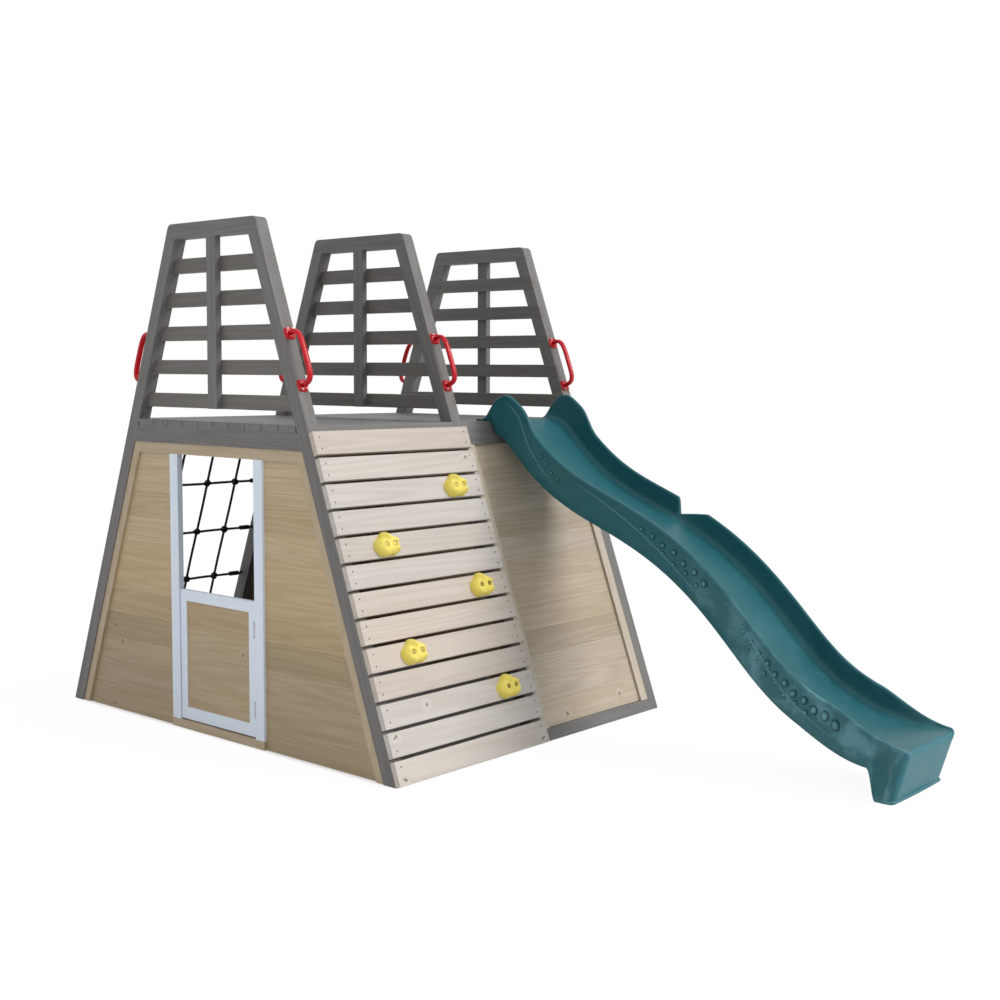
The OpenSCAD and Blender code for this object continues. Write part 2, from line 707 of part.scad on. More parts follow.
// Half door: two stiles, two rails between them, and a panel of boards
door_inside = door_closing_edge - door_hinge_edge - 2 * stile_width;
panel_bottom = door_bottom + door_foot_height;
panel_pitch = (door_top - door_rail_height - panel_bottom) / door_boards;
module door_stile(y) {
    translate([door_face_x, y, door_bottom]) cube([door_thickness, stile_width, door_top - door_bottom]);
}
module door_rail(z, height) {
    translate([door_face_x, door_hinge_edge + stile_width, z]) cube([door_thickness, door_inside, height]);
}
module door_hinge_stile() { color(white_paint) placed() door_stile(door_hinge_edge); }
module door_closing_stile() { color(white_paint) placed() door_stile(door_closing_edge - stile_width); }
module door_top_rail() { color(white_paint) placed() door_rail(door_top - door_rail_height, door_rail_height); }
module door_bottom_rail() { color(white_paint) placed() door_rail(door_bottom, door_foot_height); }
module door_panel() {
    color(natural_wood) placed() for (i = [0:door_boards - 1])
        translate([door_face_x + (door_thickness - door_panel_thickness) / 2, door_hinge_edge + stile_width,
            panel_bottom + i * panel_pitch])
            cube([door_panel_thickness, door_inside, panel_pitch - (i < door_boards - 1 ? board_joint : 0)]);
}

// Butt hinges: the post's leaf carries the outer knuckles and grips the pin, the door's leaf carries the middle one
leaf_set = door_side_gap / 2 - leaf_thickness;
module knuckle(z, first) {
    translate([hinge_x, hinge_y, z - hinge_height / 2 + first * knuckle_length + joint_fit])
        cylinder(h = knuckle_length - 2 * joint_fit, d = knuckle_diameter);
}
module pin_bore(z, diameter) {
    translate([hinge_x, hinge_y, z - hinge_height / 2 - cut_over])
        cylinder(h = hinge_height + 2 * cut_over, d = diameter);
}
module leaf_plate(z, side, first, last) {
    translate([hinge_x, side > 0 ? hinge_y + leaf_set : hinge_y - leaf_set - leaf_thickness,
        z - hinge_height / 2 + first * knuckle_length + joint_fit])
        cube([leaf_width, leaf_thickness, (last - first) * knuckle_length - 2 * joint_fit]);
}
module clear_of_knuckles(z, first, last) {
    room = knuckle_diameter / 2 + joint_fit;
    translate([hinge_x - room, hinge_y - room, z - hinge_height / 2 + first * knuckle_length - joint_fit])
        cube([2 * room, 2 * room, (last - first) * knuckle_length + 2 * joint_fit]);
}
module hinge_post_leaves() {
    color(steel) placed() for (z = hinge_heights) difference() {
        union() {
            difference() {
                leaf_plate(z, -1, 0, knuckle_count);
                clear_of_knuckles(z, 1, 2);
            }
            knuckle(z, 0);
            knuckle(z, 2);
        }
        pin_bore(z, pin_diameter);
    }
}
module hinge_door_leaves() {
    color(steel) placed() for (z = hinge_heights) difference() {
        union() {
            difference() {
                leaf_plate(z, 1, 0, knuckle_count);
                clear_of_knuckles(z, 0, 1);
                clear_of_knuckles(z, 2, 3);
            }
            knuckle(z, 1);
        }
        pin_bore(z, pin_diameter + 2 * pin_clearance);
    }
}
module hinge_pins() {
    color(steel) placed() for (z = hinge_heights)
        translate([hinge_x, hinge_y, z - hinge_height / 2]) cylinder(h = hinge_height, d = pin_diameter);
}

// Climbing wall: slats on the front of the left and middle legs, with bolted holds on some of them
module at_hold(k) {
    on_slope(-1) translate([climb_middle_x + hold_offset(k), climb_slat_thickness,
        climb_slat_bottom(hold_row(k)) + climb_slat_width / 2]) rotate([-90, 0, 0]) children();
}
module hold_bores(diameter, from, to) {
    for (k = [0:hold_count - 1], dx = [-1, 1] * hold_bolt_space / 2)
        at_hold(k) translate([dx, 0, from]) cylinder(h = to - from, d = diameter);
}
module climbing_slats() {
    color(pale_wood) placed() difference() {
        on_slope(-1) for (i = [0:climb_slats - 1]) translate([left_face_x, 0, climb_slat_bottom(i)])
            cube([half_width + half_leg, climb_slat_thickness, climb_slat_width]);
        hold_bores(hold_bolt_diameter + 2 * bolt_fit, -climb_slat_thickness - cut_over, cut_over);
    }
}
// A hold is three rounded lobes drawn together: two wide ones below and a lower one above
module hold_body() {
    hull() for (p = [[-1, 0.6, 1, 1], [1, 0.5, 0.92, 1], [0.1, -1, 0.8, 0.9]])
        translate([p[0] * hold_bolt_space / 2, p[1] * hold_lobe_rise / 2, 0])
            rotate_extrude($fn = hold_sides) polygon([
                for (q = hold_lobe_outline) [q[0] * hold_lobe * p[3], q[1] * hold_height * p[2]]
            ]);
}
module climbing_holds() {
    color(yellow_plastic) placed() difference() {
        for (k = [0:hold_count - 1]) at_hold(k) hold_body();
        hold_bores(hold_bolt_diameter + 2 * bolt_fit, -cut_over, hold_height);
        hold_bores(bolt_head_diameter + 2 * bolt_fit, hold_height - bolt_recess, hold_height + cut_over);
    }
}
module hold_bolts() {
    seat = hold_height - bolt_recess;
    color(steel) placed() {
        hold_bores(hold_bolt_diameter, -climb_slat_thickness - bolt_tail, seat);
        hold_bores(bolt_head_diameter, seat, seat + bolt_head_height);
    }
}

// Net: upright and cross ropes of round section, joined by a knot at each crossing
module rope(a, b, diameter) {
    d = b - a;
    translate(a) rotate([0, acos(d[2] / norm(d)), atan2(d[1], d[0])]) cylinder(h = norm(d), d = diameter);
}
function net_point(x, z) = [x, net_y(z), z];
module net_ropes(diameter) {
    for (i = [0:net_uprights - 1]) let (x = net_upright_x(i))
        rope(net_point(x, ground_beam_height - rope_hole_depth), net_point(x, beam_bottom + rope_hole_depth), diameter);
    for (i = [0:net_crossings - 1]) let (z = net_cross_z(i))
        rope(net_point(left_bay_x - rope_hole_depth, z), net_point(-half_leg + rope_hole_depth, z), diameter);
}
// Holes for the ends of the ropes in the pieces at the back (side 1)
module rope_holes(side) {
    if (side > 0) net_ropes(rope_diameter + 2 * rope_fit);
}
module rope_net() {
    color(black_rope) placed() {
        net_ropes(rope_diameter);
        for (i = [0:net_uprights - 1], k = [0:net_crossings - 1])
            translate(net_point(net_upright_x(i), net_cross_z(k))) sphere(d = knot_diameter);
    }
}
module net_ferrules() {
    color(black_rope) placed() for (k = [0:net_crossings - 1])
        for (x = [left_bay_x + ferrule_gap, -half_leg - ferrule_gap - ferrule_length])
            translate(net_point(x, net_cross_z(k))) rotate([0, 90, 0]) difference() {
                cylinder(h = ferrule_length, d = ferrule_diameter);
                translate([0, 0, -cut_over])
                    cylinder(h = ferrule_length + 2 * cut_over, d = rope_diameter + 2 * rope_fit);
            }
}

// Handles: a flat oval bar that stands off the leg and runs along it, with a screwed foot at each end. The bar
// follows half of a rounded rectangle, and reaches out a little more at its lower end
function bow_at(t) = let (c = cos(180 * t), s = sin(180 * t), foot = handle_foot_thickness / 2) [
    handle_span / 2 * sign(c) * pow(abs(c), bow_power),
    foot + (handle_reach - foot) * pow(max(s, 0), bow_power) * (1 - bow_lean * c)
];
function bow_way(t) = let (d = bow_at(min(1, t + 0.01)) - bow_at(max(0, t - 0.01))) d / norm(d);
bar_points = [
    for (r = [0:bar_rings]) let (c = bow_at(r / bar_rings), w = bow_way(r / bar_rings))
        for (k = [0:bar_sides - 1]) let (
                a = 360 * k / bar_sides,
                side = cos(a) * handle_bar_width / 2,
                up = sin(a) * handle_bar_thickness / 2)
            [side, c[1] + w[0] * up, c[0] - w[1] * up]
];
module handle_foot(way) {
    inside = foot_width - 2 * foot_round;
    translate([0, 0, way * handle_span / 2]) rotate([-90, 0, 0]) linear_extrude(handle_foot_thickness) hull()
        for (a = [-1, 1], b = [-1, 1]) translate([a, b] * inside / 2) circle(foot_round);
}
module handle(x, side) {
    difference() {
        on_slope(side) translate([x, 0, handle_height / cos(lean_angle)]) intersection() {
            union() {
                swept(bar_points, bar_sides, round_cap(bar_sides));
                for (way = [-1, 1]) handle_foot(way);
            }
            translate([-foot_width, 0, -handle_span]) cube([2 * foot_width, 3 * handle_reach, 2 * handle_span]);
        }
        for (place = [-foot_screw_place, foot_screw_place])
            foot_screws(x, side, place, screw_diameter + 2 * bolt_fit, -cut_over, handle_foot_thickness + cut_over);
    }
}
module left_front_handle() { color(red_plastic) placed() handle(left_x, -1); }
module left_back_handle() { color(red_plastic) placed() handle(left_x, 1); }
module middle_front_handle() { color(red_plastic) placed() handle(0, -1); }
module middle_back_handle() { color(red_plastic) placed() handle(0, 1); }
module right_front_handle() { color(red_plastic) placed() handle(right_x, -1); }
module right_back_handle() { color(red_plastic) placed() handle(right_x, 1); }
module handle_screws() {
    head_end = handle_foot_thickness + screw_head_height;
    color(steel) placed()
        for (x = [left_x, 0, right_x], side = [-1, 1], place = [-foot_screw_place, foot_screw_place]) {
            foot_screws(x, side, place, screw_diameter, -screw_bite, handle_foot_thickness);
            foot_screws(x, side, place, screw_head_diameter, handle_foot_thickness, head_end);
        }
}

// Slide: one moulding with a bed, side walls with rolled rims, skirts and a closed foot
module slide() { color(green_plastic) placed() swept(slide_points, slide_ring_size, slide_cap(slide_ring_size)); }

left_front_leg();
left_back_leg();
left_top_rail();
left_guard_slats();
left_guard_post();
middle_front_leg();
middle_back_leg();
middle_top_rail();
middle_guard_slats();
middle_guard_post();
right_front_leg();
right_back_leg();
right_top_rail();
right_guard_slats();
right_guard_post();
left_tie_beam();
middle_tie_beam();
right_tie_beam();
front_deck_beams();
back_deck_beams();
deck_planks();
deck_edge_planks();
left_ground_beam();
front_ground_beam();
back_ground_beam();
left_wall_front_boards();
left_wall_back_boards();
left_wall_sill();
left_wall_front_trim();
left_wall_back_trim();
left_wall_top_trim();
right_wall_boards();
right_wall_trim();
front_wall_boards();
front_wall_trim();
back_wall_boards();
back_wall_trim();
hinge_door_post();
closing_door_post();
door_hinge_stile();
door_closing_stile();
door_top_rail();
door_bottom_rail();
door_panel();
hinge_post_leaves();
hinge_door_leaves();
hinge_pins();
climbing_slats();
climbing_holds();
hold_bolts();
rope_net();
net_ferrules();
left_front_handle();
left_back_handle();
middle_front_handle();
middle_back_handle();
right_front_handle();
right_back_handle();
handle_screws();
slide();
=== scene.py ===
# %% [markdown]
# # A wooden climbing frame with a wavy slide
#
# The object is a garden toy: three grey frames carry a deck, and under the deck is a den with a half door.
# The front has a climbing wall and a moulded slide, and the back a rope net. The real pieces come from a CAD
# model, so this notebook only dresses them: it gives every piece a finish, and makes anew those that CAD
# draws plainly, which are the rope, the holds, the handles and the slide's skin.

import math
from types import SimpleNamespace

import bmesh
import bpy
import numpy as np
from mathutils import Matrix, Vector


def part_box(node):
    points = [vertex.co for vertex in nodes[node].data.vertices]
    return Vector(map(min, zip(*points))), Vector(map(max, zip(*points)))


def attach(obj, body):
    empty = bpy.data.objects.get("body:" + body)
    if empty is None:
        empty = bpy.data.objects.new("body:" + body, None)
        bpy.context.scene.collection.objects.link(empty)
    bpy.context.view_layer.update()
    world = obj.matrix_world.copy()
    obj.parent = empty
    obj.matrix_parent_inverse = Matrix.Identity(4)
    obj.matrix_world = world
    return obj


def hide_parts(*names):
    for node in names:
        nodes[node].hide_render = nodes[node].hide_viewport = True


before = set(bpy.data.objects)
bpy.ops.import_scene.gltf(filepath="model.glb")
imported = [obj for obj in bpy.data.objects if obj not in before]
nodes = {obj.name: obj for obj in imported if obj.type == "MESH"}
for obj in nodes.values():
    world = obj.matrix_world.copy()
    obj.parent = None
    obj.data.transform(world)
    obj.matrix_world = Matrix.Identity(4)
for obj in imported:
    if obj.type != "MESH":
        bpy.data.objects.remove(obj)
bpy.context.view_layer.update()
print("pieces from CAD:", len(nodes))

# %% [markdown]
# ## Measures that the dressing shares with the model
#
# The legs lean inwards at the same angle at the front and the back. Unit vectors point up and out of both
# slopes, so a piece on a slope is placed by three plain numbers: along the front, out of the slope, and up
# it. The middle plane of the frames is read from a back leg, because the slide moves the model's own middle.

# %% Directions and places
FRAME_HEIGHT = 1.945
BASE_DEPTH = 1.990
TOP_DEPTH = 0.530
BAY = 0.713
LEAN = (BASE_DEPTH - TOP_DEPTH) / (2 * FRAME_HEIGHT)
LEAN_SIN = math.sin(math.atan(LEAN))
LEAN_COS = math.cos(math.atan(LEAN))
HALF_BASE = BASE_DEPTH / 2
MIDDLE_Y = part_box("left_back_leg")[1].y - HALF_BASE
DECK_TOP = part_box("deck_planks")[1].z

ALONG_X, ALONG_Y, ALONG_Z = np.eye(3)
UP_FRONT = np.array([0.0, LEAN_SIN, LEAN_COS])
UP_BACK = np.array([0.0, -LEAN_SIN, LEAN_COS])
OUT_FRONT = np.array([0.0, -LEAN_COS, LEAN_SIN])
OUT_BACK = np.array([0.0, LEAN_COS, LEAN_SIN])
FRONT_FOOT = np.array([0.0, MIDDLE_Y - HALF_BASE, 0.0])
BACK_FOOT = np.array([0.0, MIDDLE_Y + HALF_BASE, 0.0])
SLOPES = {-1: (FRONT_FOOT, OUT_FRONT, UP_FRONT), 1: (BACK_FOOT, OUT_BACK, UP_BACK)}


def on_slope(side, x, out, up):
    """Points x along the front, out of the legs' outer faces and up along them. Side -1 is the front."""
    foot, outwards, upwards = SLOPES[side]
    x, out, up = np.broadcast_arrays(x, out, up)
    return foot + x[..., None] * ALONG_X + out[..., None] * outwards + up[..., None] * upwards


print("middle plane of the frames at y =", round(MIDDLE_Y, 4))
print("lean of the legs in degrees:", round(math.degrees(math.atan(LEAN)), 2))

# %% [markdown]
# ## Camera
#
# The photographer stood to the left of the slide, at about the height of the deck. The place and the three
# angles, to the right of straight ahead, up, and a slight tilt, were found by matching straight edges of the
# frame. The picture was cut so that the camera's axis is not in its middle, hence the small shift.


# %% Camera at the picture's viewpoint
def placed(name, data):
    """Puts a new object with a camera, a mesh or a light into the scene."""
    obj = bpy.data.objects.new(name, data)
    bpy.context.scene.collection.objects.link(obj)
    return obj


camera_data = bpy.data.cameras.new("camera")
camera = placed("camera", camera_data)
bpy.context.scene.camera = camera

STAND = (-3.7999, -3.6056, 1.3816)
TURN, TIP, TILT = 0.8954, -0.0759, 0.0088
facing = Matrix.Rotation(-TURN, 4, "Z") @ Matrix.Rotation(math.pi / 2 + TIP, 4, "X")
camera.matrix_world = Matrix.Translation(STAND) @ facing @ Matrix.Rotation(TILT, 4, "Z")
camera_data.sensor_width = 36.0
camera_data.lens = 48.988
camera_data.shift_x = -0.10
camera_data.shift_y = -0.02
bpy.context.scene.view_settings.view_transform = "Standard"
print("camera at", STAND, "lens", camera_data.lens)

# %% [markdown]
# ## Shader arithmetic
#
# A procedural finish is a sum of small patterns. The Math nodes could be made one by one, but that hides the
# sum. So a wire class wraps a socket and takes part in Python arithmetic: every operator adds one node, also
# where the wire stands second, as in 1 - mask.


# %% A wire that takes part in sums
def operator(operation, reflected=False):
    """A method that adds one Math node, with the wire as its first number, or its second where reflected."""

    def method(self, other=0.0):
        pair = (other, self) if reflected else (self, other)
        return self.graph.node("Math", dict(enumerate(pair)), operation=operation)[0]

    return method


class Wire:
    """A shader socket that takes part in sums and products: each operator adds one Math node."""

    def __init__(self, graph, socket):
        self.graph = graph
        self.socket = socket

    __add__ = operator("ADD")
    __radd__ = operator("ADD", True)
    __sub__ = operator("SUBTRACT")
    __rsub__ = operator("SUBTRACT", True)
    __mul__ = operator("MULTIPLY")
    __rmul__ = operator("MULTIPLY", True)
    __truediv__ = operator("DIVIDE")
    __rtruediv__ = operator("DIVIDE", True)
    floor = operator("FLOOR")
    sine = operator("SINE")
    absolute = operator("ABSOLUTE")
    least = operator("MINIMUM")
    most = operator("MAXIMUM")

    def rise(self, low, high):
        """Goes smoothly from 0 at low to 1 at high, or falls where low is above high."""
        inputs = {"Value": self, "From Min": low, "From Max": high}
        return self.graph.node("MapRange", inputs, interpolation_type="SMOOTHSTEP")[0]


print("wire class ready")

# %% [markdown]
# Every other kind of node comes from one method of a graph class, which holds the node tree. It makes the
# node, sets its settings first, because some of them change which sockets count, and then gives each input a
# value or a link. It hands back the outputs as wires.


# %% A graph of nodes
class Graph:
    """A node tree, emptied, with one method that makes any node from its inputs and settings."""

    def __init__(self, tree):
        self.tree = tree
        tree.nodes.clear()

    def node(self, kind, inputs=None, **settings):
        made = self.tree.nodes.new("ShaderNode" + kind)
        for key, value in settings.items():
            setattr(made, key, value)
        for key, value in (inputs or {}).items():
            self.feed(made.inputs[key], value)
        return [Wire(self, socket) for socket in made.outputs]

    def feed(self, socket, value):
        if isinstance(value, Wire):
            self.tree.links.new(value.socket, socket)
        else:
            socket.default_value = value

    def looked_at(self):
        """1 for rays from the camera, off gloss or through glass, and 0 for those that only carry light."""
        rays = {wire.socket.name: wire for wire in self.node("LightPath")}
        return rays["Is Camera Ray"] + rays["Is Glossy Ray"] + rays["Is Transmission Ray"]


print("graph class ready")

# %% [markdown]
# A finish is the graph of a material with one Principled shader, which does for wood, plastic and steel.
# Its patterns read Object coordinates, so they are measured in metres and move with the piece. A few methods
# name the nodes that the finishes below need again and again.


# %% A finish on a Principled shader
class Finish(Graph):
    """A material with one Principled shader, and methods for the nodes that finishes need most."""

    def __init__(self, name):
        self.material = bpy.data.materials.new(name)
        self.material.use_nodes = True
        super().__init__(self.material.node_tree)
        self.shader = self.tree.nodes.new("ShaderNodeBsdfPrincipled")
        self.output = self.tree.nodes.new("ShaderNodeOutputMaterial")
        self.tree.links.new(self.shader.outputs[0], self.output.inputs[0])
        self.place = self.node("TexCoord")[3]

    def dot(self, direction):
        """Distance of the shaded point along a direction, in metres."""
        inputs = {0: self.place, 1: tuple(float(v) for v in direction)}
        return self.node("VectorMath", inputs, operation="DOT_PRODUCT")[1]

    def vector(self, x, y, z):
        return self.node("CombineXYZ", {0: x, 1: y, 2: z})[0]

    def noise(self, scale, detail=2.0, rough=0.5, where=None):
        inputs = {"Vector": where or self.place, "Scale": scale, "Detail": detail, "Roughness": rough}
        return self.node("TexNoise", inputs)[0]

    def cells(self, where, scale, dimensions="3D"):
        """Distance to the nearest of scattered points, in space or in the plane of the first two numbers."""
        inputs = {"Vector": where, "Scale": scale}
        return self.node("TexVoronoi", inputs, voronoi_dimensions=dimensions)[0]

    def chance(self, number, seed):
        """A fixed random value from 0 to 1 for each whole number."""
        return self.node("TexWhiteNoise", {"W": number + seed}, noise_dimensions="1D")[0]

    def mix(self, share, first, second):
        return self.node("Mix", {0: share, 6: first, 7: second}, data_type="RGBA")[2]

    def times(self, first, second):
        """A colour times another one, or times a number."""
        return self.node("VectorMath", {0: first, 1: second}, operation="MULTIPLY")[0]

    def bump(self, height, strength, distance):
        return self.node("Bump", {"Height": height, "Strength": strength, "Distance": distance})[0]

    def shade(self, **inputs):
        """Sets or links the shader's own sockets, named with _ for a space."""
        for key, value in inputs.items():
            name = key.replace("_", " ").title().replace("Ior", "IOR")
            self.feed(self.shader.inputs[name], value)
        return self.material


print("finish class ready")

# %% [markdown]
# Colours are easiest to choose as a screen shows them, from 0 to 255. Light adds up in linear values, so each
# colour is turned into those by the curve that screens use.


# %% Colours as a screen shows them
def colour(red, green, blue):
    """A colour in 0 to 255 as a screen shows it, turned into the linear values that shaders work in."""
    share = np.array([red, green, blue]) / 255.0
    linear = np.where(share <= 0.04045, share / 12.92, ((share + 0.055) / 1.055) ** 2.4)
    return (*linear.tolist(), 1.0)


print("a screen's grey of 128 in linear light:", round(colour(128, 128, 128)[0], 3))

# %% [markdown]
# ## Floor, backdrop and light
#
# The picture has a clean white ground, so the floor and the sky are white where the camera looks straight at
# them, and where metal or gloss mirrors them. For all other rays the sky is bright overhead and dim at the
# horizon, and the floor of the den stays in its own shade. The pale floor lights the outsides of the walls,
# and the slide's inner walls, which can't see it, stay dark. One broad sun stands in front and to the right,
# since the slide's soft shadow falls on the left of the wall behind it. A softbox on the left models the
# studs on the slide, and a small lamp above the camera draws crisp highlights on rims, studs and handles.

# %% White sky and floor
world = bpy.data.worlds.new("studio")
bpy.context.scene.world = world
world.use_nodes = True
sky = Graph(world.node_tree)
sky_height = sky.node("SeparateXYZ", {0: sky.node("TexCoord")[0]})[2]
strength = sky.node("MapRange", {"Value": sky_height, "To Min": 0.20, "To Max": 1.10})[0]
glow = sky.node("Background", {"Color": colour(236, 240, 246), "Strength": strength})[0]
backdrop = sky.node("Background", {"Color": (1.0, 1.0, 1.0, 1.0)})[0]
sky_picked = sky.node("MixShader", {0: sky.looked_at(), 1: glow, 2: backdrop})[0]
sky.node("OutputWorld", {0: sky_picked})

FLOOR_REACH = 40.0
FLOOR_DROP = 0.0005
corners = FLOOR_REACH * np.array([[-1, -1, 0], [1, -1, 0], [1, 1, 0], [-1, 1, 0]]) - FLOOR_DROP * ALONG_Z
floor_mesh = bpy.data.meshes.new("floor")
floor_mesh.from_pydata(corners.tolist(), [], [(0, 1, 2, 3)])
floor = placed("floor", floor_mesh)
floor_look = Finish("white_floor")
floor_look.shade(base_color=colour(216, 216, 216), roughness=0.9)
under_x = floor_look.dot(ALONG_X).absolute().rise(0.76, 0.70)
under_y = (floor_look.dot(ALONG_Y) - MIDDLE_Y).absolute().rise(1.0, 0.94)
white_share = floor_look.looked_at() * 0.9 * (1.0 - under_x * under_y)
floor_grey = Wire(floor_look, floor_look.shader.outputs[0])
floor_white = floor_look.node("Emission", {"Strength": 1.05})[0]
floor_mixed = floor_look.node("MixShader", {0: white_share, 1: floor_grey, 2: floor_white})[0]
floor_look.feed(floor_look.output.inputs[0], floor_mixed)
floor_mesh.materials.append(floor_look.material)
print("floor reaches", FLOOR_REACH, "metres each way")


# %% Sun and lamps
def aimed(place, towards):
    """The matrix of a light at a place that shines along the opposite of a direction."""
    return Matrix.LocRotScale(place, Vector(towards).to_track_quat("Z", "Y"), None)


def area_lamp(name, energy, size, place, towards):
    """A rectangular lamp, hidden from the camera. Energy in watts, size in metres, aimed against towards."""
    lamp_data = bpy.data.lights.new(name, "AREA")
    lamp_data.energy = energy
    lamp_data.shape = "RECTANGLE"
    lamp_data.size = size[0]
    lamp_data.size_y = size[1]
    lamp = placed(name, lamp_data)
    lamp.matrix_world = aimed(place, towards)
    lamp.visible_camera = False
    print("lamp:", name, energy, "watts")


sun_data = bpy.data.lights.new("sun", "SUN")
sun_data.energy = 2.0
sun_data.angle = 0.55
placed("sun", sun_data).matrix_world = aimed((0.0, 0.0, 4.0), (0.40, -0.72, 0.60))
area_lamp("softbox", 12.0, (1.6, 0.8), (-4.2, 0.4, 1.2), (-4.2, 1.4, 0.5))
area_lamp("small_lamp", 12.0, (0.5, 0.25), (-3.0, -3.4, 3.0), (-3.4, -1.6, 2.2))

# %% [markdown]
# ## Wood
#
# Every wooden piece is sawn softwood under a stain, a varnish, a whitewash or paint, so one function makes
# them all. Growth rings are the contour lines of a slow noise that is stretched along the grain: they run
# straight on most of a board and close into long arches here and there. A much finer noise gives the fibres.
# Knots are scattered points that bend the rings and darken the wood. In a wall of boards the row number picks
# each board's own tone and part of the pattern. Dust darkens the edges next to the joints, or wear brightens
# them where that share is below zero. Painted shade darkens the boards towards the ground, and boards from
# different trees are tinted by a share between two hues.


# %% The wood finish
def wood(name, shades, along, across, row=None, rings=60.0, contrast=0.6, knots=0.0, tone=0.08, rough=0.62,
         lift=0.35, edge=0.35, groove=3.0, painted_ground_shade=0.0, hues=None):
    """Sawn wood in two shades, its grain along one direction. Row is (start, pitch, width) of boards across.

    Knots is how many lie along a metre. The distance to one comes out in metres times that number.
    """
    finish = Finish(name)
    pale, deep = shades
    u, v, w = (finish.dot(axis) for axis in (along, across, np.cross(along, across)))
    if row:
        start, pitch, width = row
        number = ((v - start) / pitch).floor()
        inside = v - start - number * pitch
        near_edge = inside.least(width - inside)
        first = finish.chance(number, 0.5)
        second = finish.chance(number, 31.5)
        u = u + first * 9.0
        v = v + second * 3.0
    else:
        first = finish.noise(1.0, 1.0, where=finish.vector(u * 0.7, v * 3.0, w * 3.0))
    height = finish.noise(1.0, 2.0, 0.45, finish.vector(u * 0.45, v * 9.0, w * 9.0))
    if knots > 0:
        spot = finish.cells(finish.vector(u, v, w), knots, "2D")
        height = height + spot.rise(0.034 * knots, 0.005 * knots) * 0.06
    ring = (height * rings).sine() * 0.5 + 0.5
    fibre = finish.noise(1.0, 3.0, 0.6, finish.vector(u * 7.0, v * 260.0, w * 260.0))
    cloud = finish.noise(1.0, where=finish.vector(u * 2.2, v * 6.0, w * 6.0))
    amount = (ring * 0.42 + fibre * 0.75 + cloud * 0.35 - 0.3) * contrast
    tinted = finish.mix(amount.most(0.0).least(1.0), pale, deep)
    if knots > 0:
        brown = tuple(0.35 * c for c in deep[:3]) + (1.0,)
        tinted = finish.mix(spot.rise(0.009 * knots, 0.003 * knots) * 0.85, tinted, brown)
    brightness = first * (2.0 * tone) + (1.0 - tone)
    relief = ring * 0.4 + fibre * 0.6
    if row:
        brightness = brightness * (1.0 - near_edge.rise(0.004, 0.0) * edge)
        relief = relief - near_edge.rise(0.0025, 0.0) * groove
    # Painted shade: the boards are darkened towards the ground by this share.
    if painted_ground_shade > 0:
        brightness = brightness * (1.0 - finish.dot(ALONG_Z).rise(0.95, 0.0) * painted_ground_shade)
    if hues:
        tinted = finish.times(tinted, finish.mix(second, hues[0], hues[1]))
    normal = finish.bump(relief, lift, 0.0012)
    roughness = fibre * 0.22 + (rough - 0.11)
    return finish.shade(base_color=finish.times(tinted, brightness), roughness=roughness, normal=normal)


def dress(material, names):
    """Puts one finish on several pieces of the model."""
    for name in names:
        obj = nodes[name]
        obj.data.materials.clear()
        obj.data.materials.append(material)
        dressed.add(name)


dressed = set()
print("wood finish ready")

# %% [markdown]
# ## Grey stained frames
#
# The frames, guards and deck are dark grey stained softwood. A thin stain sinks deeper into the soft early
# wood than into the hard rings, so the grain shows as lighter and darker grey. The grain has to run along
# each member, so the same finish is made once for every direction that a member has.

# %% Grey wood for legs, rails, guards, deck and ground beams
GREY = (colour(118, 115, 111), colour(80, 77, 73))
# The guard slats are a browner stain, and darker than the frames' grey as painted shade.
GUARD_GREY_PAINTED_SHADE = (colour(110, 106, 100), colour(75, 71, 66))
SIDES = ("left", "middle", "right")
RAIL_HEIGHT = 0.057
GUARD_CLEARANCE = 0.048
GUARD_SLAT = 0.055
PLANK_SPACE = 0.004
guard_start = DECK_TOP + GUARD_CLEARANCE
guard_pitch = (FRAME_HEIGHT - RAIL_HEIGHT - DECK_TOP - GUARD_CLEARANCE) / 5
plank_low, plank_high = (corner.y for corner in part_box("deck_planks"))
plank_pitch = (plank_high - plank_low + PLANK_SPACE) / 10
guard_row = (guard_start, guard_pitch, GUARD_SLAT)
plank_row = (plank_low, plank_pitch, plank_pitch - PLANK_SPACE)
grey_look = {"rings": 70.0, "contrast": 0.6, "tone": 0.06, "rough": 0.6}


def in_each(ending):
    """The names of one piece in the left, middle and right frames."""
    return [side + ending for side in SIDES]


beams = ["front_deck_beams", "back_deck_beams", "left_ground_beam", "front_ground_beam", "back_ground_beam"]
grey_members = (
    ("grey_front_leg", UP_FRONT, ALONG_X, in_each("_front_leg")),
    ("grey_back_leg", UP_BACK, ALONG_X, in_each("_back_leg")),
    ("grey_rail", ALONG_Y, ALONG_Z, in_each("_top_rail") + in_each("_tie_beam")),
    ("grey_post", ALONG_Z, ALONG_Y, in_each("_guard_post")),
    ("grey_beam", ALONG_X, ALONG_Z, beams),
)
for name, along, across, names in grey_members:
    dress(wood(name, GREY, along, across, **grey_look), names)
shaded_slat_grey = wood("grey_guard_slat_painted_shade", GUARD_GREY_PAINTED_SHADE, ALONG_Y, ALONG_Z, row=guard_row, edge=-0.25, **grey_look)
plank_grey = wood("grey_plank", GREY, ALONG_X, ALONG_Y, row=plank_row, edge=-0.2, **grey_look)
dress(shaded_slat_grey, in_each("_guard_slats"))
dress(plank_grey, ["deck_planks", "deck_edge_planks"])
print("grey pieces:", len(dressed))

# %% [markdown]
# ## Natural boards
#
# The walls of the den are close boards of clear-varnished softwood with small knots, held by thin strips
# along their ends. On the sloping walls the rows are counted up the slope, on the upright ones straight up.

